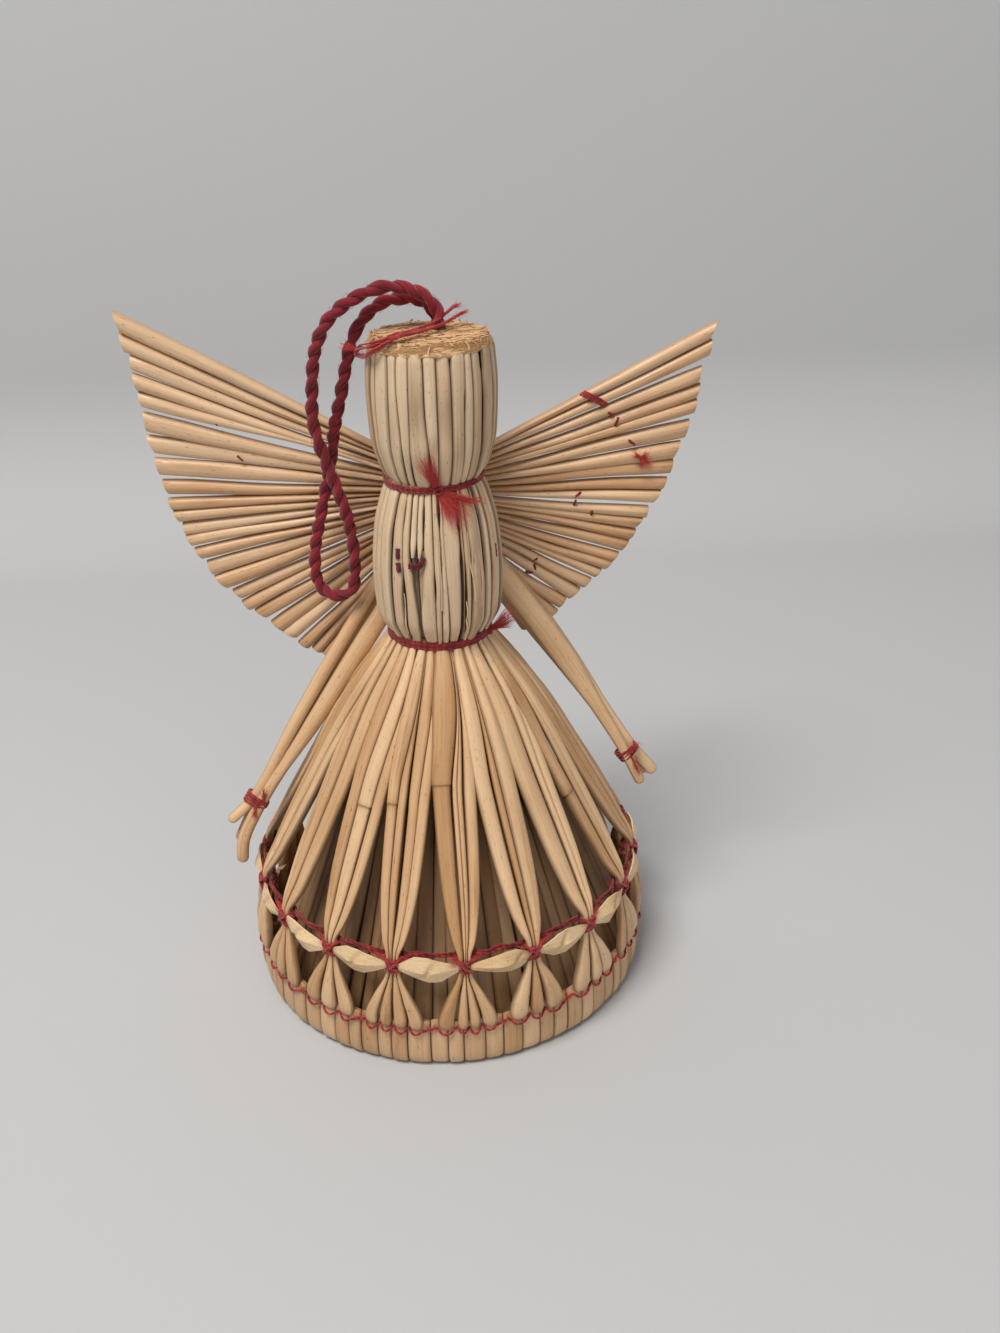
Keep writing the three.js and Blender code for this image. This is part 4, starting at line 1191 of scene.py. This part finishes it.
def wing_tie():
    """Thread wound round the wings where they cross behind the neck."""
    rng = np.random.default_rng(53)
    skin = Skin()
    for x in np.linspace(-0.75, 0.75, 4):
        turn = np.arange(26) * TURN / 26
        loop = np.stack([WING_HUB[0] + x + 0.1 * np.sin(turn * 2 + x), WING_HUB[1] + 1.72 * np.cos(turn),
                         WING_HUB[2] + 5.9 * np.sin(turn)], 1)
        thread(skin, loop, 0.34, rng, closed=True)
    skin.make("wing_thread", RED_THREAD, ["wing_tie"], leans=False, sharp=80)


wing_tie()


def wing_stitches():
    """Ends and turns of thread caught between the wings' straws."""
    rng = np.random.default_rng(54)
    skin = Skin()

    def on_wing(sign, angle, distance, lift=1.5):
        tilt = math.radians(angle)
        return WING_HUB + [sign * distance * math.cos(tilt), -lift, distance * math.sin(tilt)]

    for shift in (-0.3, 0.15, 0.6):
        wrap = [on_wing(1, angle, distance + shift, lift) for angle, distance, lift in
                ((33.6, 34.4, 0.9), (32.2, 35.0, 1.6), (30.2, 35.8, 1.75), (28.0, 36.5, 1.5),
                 (26.6, 36.9, 0.9))]
        thread(skin, wrap, 0.26, rng, tone=0.4)
    for angle, distance in ((23.8, 37.2), (20.7, 37.8), (13.4, 39.4), (-1.8, 28.0), (-5.2, 27.5),
                            (-8.7, 31.1), (-35.7, 24.1), (-39.2, 25.0), (-42.8, 24.8)):
        turned = rng.uniform(-0.6, 0.6)
        spot = [on_wing(1, angle - 0.9, distance - turned, 1.0), on_wing(1, angle, distance, 1.35),
                on_wing(1, angle + 0.9, distance + turned, 1.0)]
        thread(skin, spot, 0.3, rng, tone=0.1)
    knot = on_wing(1, 8.5, 40.6, 1.7)
    for end in ((1.7, -0.3, -1.0), (-1.4, -0.2, 1.0), (1.1, -0.3, 0.9), (0.2, -0.4, -1.7)):
        tuft(skin, knot, knot + np.array(end), 0.4, rng, fibres=70, thickness=0.034)
    for angle, distance in ((22.5, 43.3), (14.6, 37.4)):
        spot = [on_wing(-1, angle + share, distance + share, 1.3) for share in (-0.6, 0.0, 0.6)]
        thread(skin, spot, 0.2, rng, tone=0.0)
    skin.make("wing_stitches", RED_THREAD, leans=False, sharp=80)


wing_stitches()


# ---------------------------------------------------------------- arms


def arm(name, node, straws, seed):
    """Straws from the shoulder to the wrist, and on to the fingertips."""
    rng = np.random.default_rng(seed)
    skin = Skin()
    for points, widths, thicks in straws:
        path = curve(points, 34)
        share = np.linspace(0, 1, 34)
        wide = np.interp(share, np.linspace(0, 1, len(widths)), widths)
        thick = np.interp(share, np.linspace(0, 1, len(thicks)), thicks)
        along = unit(np.gradient(path, axis=0))
        side = np.cross(along, [0.0, -1.0, 0.35])
        tone = np.clip(0.42 + 0.18 * rng.normal(), 0.05, 0.95)
        tube(skin, path, wide, thick, side, rng, tone, sides=16, square=2.3, ends=("hollow", "round"),
             lumps=0.05)
    skin.make(name, SKIRT_STRAW, [node], leans=False)


arm("left_arm_straws", "arm_left", [
    ([(-9.6, 10.3, 81.6), (-11.4, 9.2, 79.2), (-20.4, 5.8, 66.2), (-28.3, 2.6, 54.4), (-38.7, -1.5, 38.3),
      (-42.9, -3.2, 34.9)],
     (1.3, 1.3, 1.35, 1.3, 1.05, 1.05), (1.2, 1.2, 1.2, 1.1, 0.8, 0.9)),
    ([(-6.9, 9.8, 79.2), (-7.9, 8.9, 77.4), (-17.2, 5.2, 64.4), (-25.6, 2.3, 52.8), (-37.2, -1.8, 37.4),
      (-41.4, -3.5, 29.6), (-42.0, -3.7, 25.6)],
     (1.9, 1.95, 1.9, 1.7, 1.15, 1.3, 1.25), (1.3, 1.3, 1.3, 1.2, 0.9, 1.1, 1.1)),
    ([(-8.4, 11.2, 80.4), (-9.8, 10.6, 78.0), (-22.8, 5.6, 58.8), (-37.6, -0.3, 38.4), (-42.2, -1.9, 29.6)],
     (1.4, 1.4, 1.4, 1.2, 0.9, 1.0), (1.2, 1.2, 1.2, 1.1, 0.8, 0.9)),
], 61)
arm("right_arm_straws", "arm_right", [
    ([(10.4, 9.8, 85.2), (12.6, 8.6, 82.0), (20.2, 6.8, 71.4), (27.4, 5.0, 60.4), (37.6, 2.2, 42.6),
      (40.9, 1.8, 35.4)],
     (2.35, 2.45, 2.45, 2.3, 1.45, 1.15, 1.1), (1.3, 1.4, 1.5, 1.3, 1.0, 1.0, 1.0)),
    ([(10.8, 11.0, 85.0), (13.2, 10.2, 82.4), (26.6, 7.4, 63.4), (38.9, 4.2, 42.8), (43.6, 3.6, 36.8)],
     (1.6, 1.6, 1.6, 1.3, 1.1, 1.3, 1.3), (1.2, 1.2, 1.2, 1.1, 0.9, 1.0, 1.0)),
    ([(9.8, 11.0, 83.6), (11.6, 9.8, 80.6), (25.0, 6.8, 61.4), (38.2, 4.2, 42.0), (42.2, 4.6, 36.0)],
     (1.5, 1.5, 1.5, 1.2, 0.8, 0.9, 0.9), (1.1, 1.1, 1.1, 1.0, 0.8, 0.9, 0.9)),
], 62)


def wrist_tie(name, node, wrist, toward, size, tufts, seed):
    """Turns of thread round a wrist, across the direction given, and its frayed ends."""
    rng = np.random.default_rng(seed)
    skin = Skin()
    axis = unit(np.asarray(toward, float))
    across = unit(np.cross(axis, [0.0, -1.0, 0.0]))
    other = np.cross(axis, across)
    turn = np.arange(20) * TURN / 20
    for shift in (-0.75, -0.25, 0.25, 0.75):
        wobble = shift + 0.25 * np.sin(turn[:, None] + 2 * shift)
        loop = (np.asarray(wrist) + axis * wobble + across * (size[0] * np.cos(turn))[:, None]
                + other * (size[1] * np.sin(turn))[:, None])
        thread(skin, loop, 0.3, rng, closed=True)
    for root, end, spread, fibres in tufts:
        tuft(skin, root, end, spread, rng, fibres=fibres, thickness=0.04)
    skin.make(name, RED_THREAD, [node], leans=False, sharp=80)


wrist_tie("left_wrist_thread", "wrist_tie_left", (-38.0, -1.3, 37.8), (-0.55, -0.2, -0.8), (2.35, 1.75),
          [((-36.4, -3.0, 38.5), (-35.8, -3.6, 41.3), 0.5, 70),
           ((-38.2, -3.2, 37.2), (-38.6, -3.8, 34.6), 0.5, 50)], 71)
wrist_tie("right_wrist_thread", "wrist_tie_right", (38.4, 3.0, 41.8), (0.62, -0.1, -0.78), (2.3, 1.7),
          [((38.6, 1.0, 42.4), (39.8, 0.6, 44.8), 0.5, 70),
           ((39.0, 1.2, 41.2), (40.6, 1.0, 37.6), 0.45, 90)], 72)


def crown_thread():
    """A doubled thread laid over the front of the head's rim, with frayed ends."""
    rng = np.random.default_rng(81)
    skin = Skin()
    first = [(-11.3, 0.6, 126.8), (-9.6, -4.6, 127.5), (-7.7, -8.3, 129.1), (-3.8, -7.8, 130.9),
             (0.0, -4.2, 131.1), (3.6, -0.4, 131.3), (7.4, 3.3, 132.2)]
    second = [(-11.3, 0.6, 126.8), (-10.6, -2.6, 128.4), (-7.9, -7.5, 129.9), (-4.2, -6.9, 131.1),
              (-0.4, -3.2, 131.3), (3.0, 0.5, 131.8), (6.2, 4.2, 133.2)]
    for route in (first, second):
        for _ in range(4):
            loose = [np.array(point) + 0.17 * rng.normal(size=3) for point in route]
            thread(skin, loose, rng.uniform(0.17, 0.24), rng, tone=rng.uniform(0.5, 0.9), pitch=1.8)
    line = curve(first, spacing=0.5)
    for _ in range(260):
        i = int(rng.integers(1, len(line) - 1))
        root = line[i] + 0.3 * rng.normal(size=3)
        tip = root + (line[i + 1] - line[i]) * rng.uniform(0.5, 2.5) + 0.35 * rng.normal(size=3)
        fibre(skin, np.stack([root, (root + tip) / 2 + 0.12 * rng.normal(size=3), tip]), 0.026, rng,
              rng.uniform(0.6, 1.2))
    tuft(skin, (-10.8, -1.6, 127.6), (-13.2, -1.0, 128.6), 0.5, rng, fibres=110, thickness=0.03)
    for tip in (first[-1], second[-1]):
        tuft(skin, tip, np.array(tip) + [1.1, 0.9, 0.35], 0.35, rng, fibres=50, thickness=0.03)
    skin.make("crown_thread_pair", RED_THREAD, ["crown_thread"], leans=False, sharp=80)


crown_thread()


# ---------------------------------------------------------------- floor, backdrop and light


# The paper's bend starts this far behind the figure; then its radius, and the paper's size.
BEND_START, BEND_RADIUS, PAPER_FRONT, PAPER_TOP, PAPER_HALF = 205.0, 60.0, -900.0, 1100.0, 1300.0


def stage():
    """A sheet of paper as the floor, bent up into a wall behind."""
    bend = np.radians(np.arange(5, 91, 5))
    depth = [(PAPER_FRONT, 0.0), (BEND_START, 0.0)]
    depth += [(BEND_START + BEND_RADIUS * math.sin(a), BEND_RADIUS - BEND_RADIUS * math.cos(a)) for a in bend]
    depth += [(BEND_START + BEND_RADIUS, PAPER_TOP)]
    points = [(x, y, z) for y, z in depth for x in (-PAPER_HALF, PAPER_HALF)]
    faces = [(2 * k, 2 * k + 1, 2 * k + 3, 2 * k + 2) for k in range(len(depth) - 1)]
    mesh = bpy.data.meshes.new("sweep")
    mesh.from_pydata([tuple(v * MM for v in p) for p in points], [], faces)
    mesh.shade_smooth()
    floor = bpy.data.objects.new("sweep", mesh)
    bpy.context.scene.collection.objects.link(floor)
    material, tree, shader, _ = new_material("sweep_paper")
    feed(tree, shader, {"Base Color": (0.50, 0.505, 0.51, 1), "Roughness": 0.75})
    mesh.materials.append(material)


def lamp(name, place, aim, size, power, colour):
    """A round soft light. Its place, aim and size are in metres and its power in watts."""
    data = bpy.data.lights.new(name, "AREA")
    data.shape = "DISK"
    data.size = size
    data.energy = power
    data.color = colour
    light = bpy.data.objects.new(name, data)
    bpy.context.scene.collection.objects.link(light)
    light.location = place
    light.rotation_euler = (Vector(aim) - Vector(place)).to_track_quat("-Z", "Y").to_euler()


stage()
lamp("key", (-0.30, -0.34, 1.0), (0.0, 0.0, 0.05), 0.5, 10.3, (1.0, 0.97, 0.94))
lamp("fill", (0.5, -1.0, 0.45), (0.0, 0.0, 0.06), 0.9, 2.15, (1.0, 0.98, 0.95))
world = bpy.data.worlds.new("room")
bpy.context.scene.world = world
world.use_nodes = True
world.node_tree.nodes["Background"].inputs["Color"].default_value = (0.92, 0.93, 0.95, 1)
world.node_tree.nodes["Background"].inputs["Strength"].default_value = 0.255
bpy.context.scene.view_settings.view_transform = "Standard"
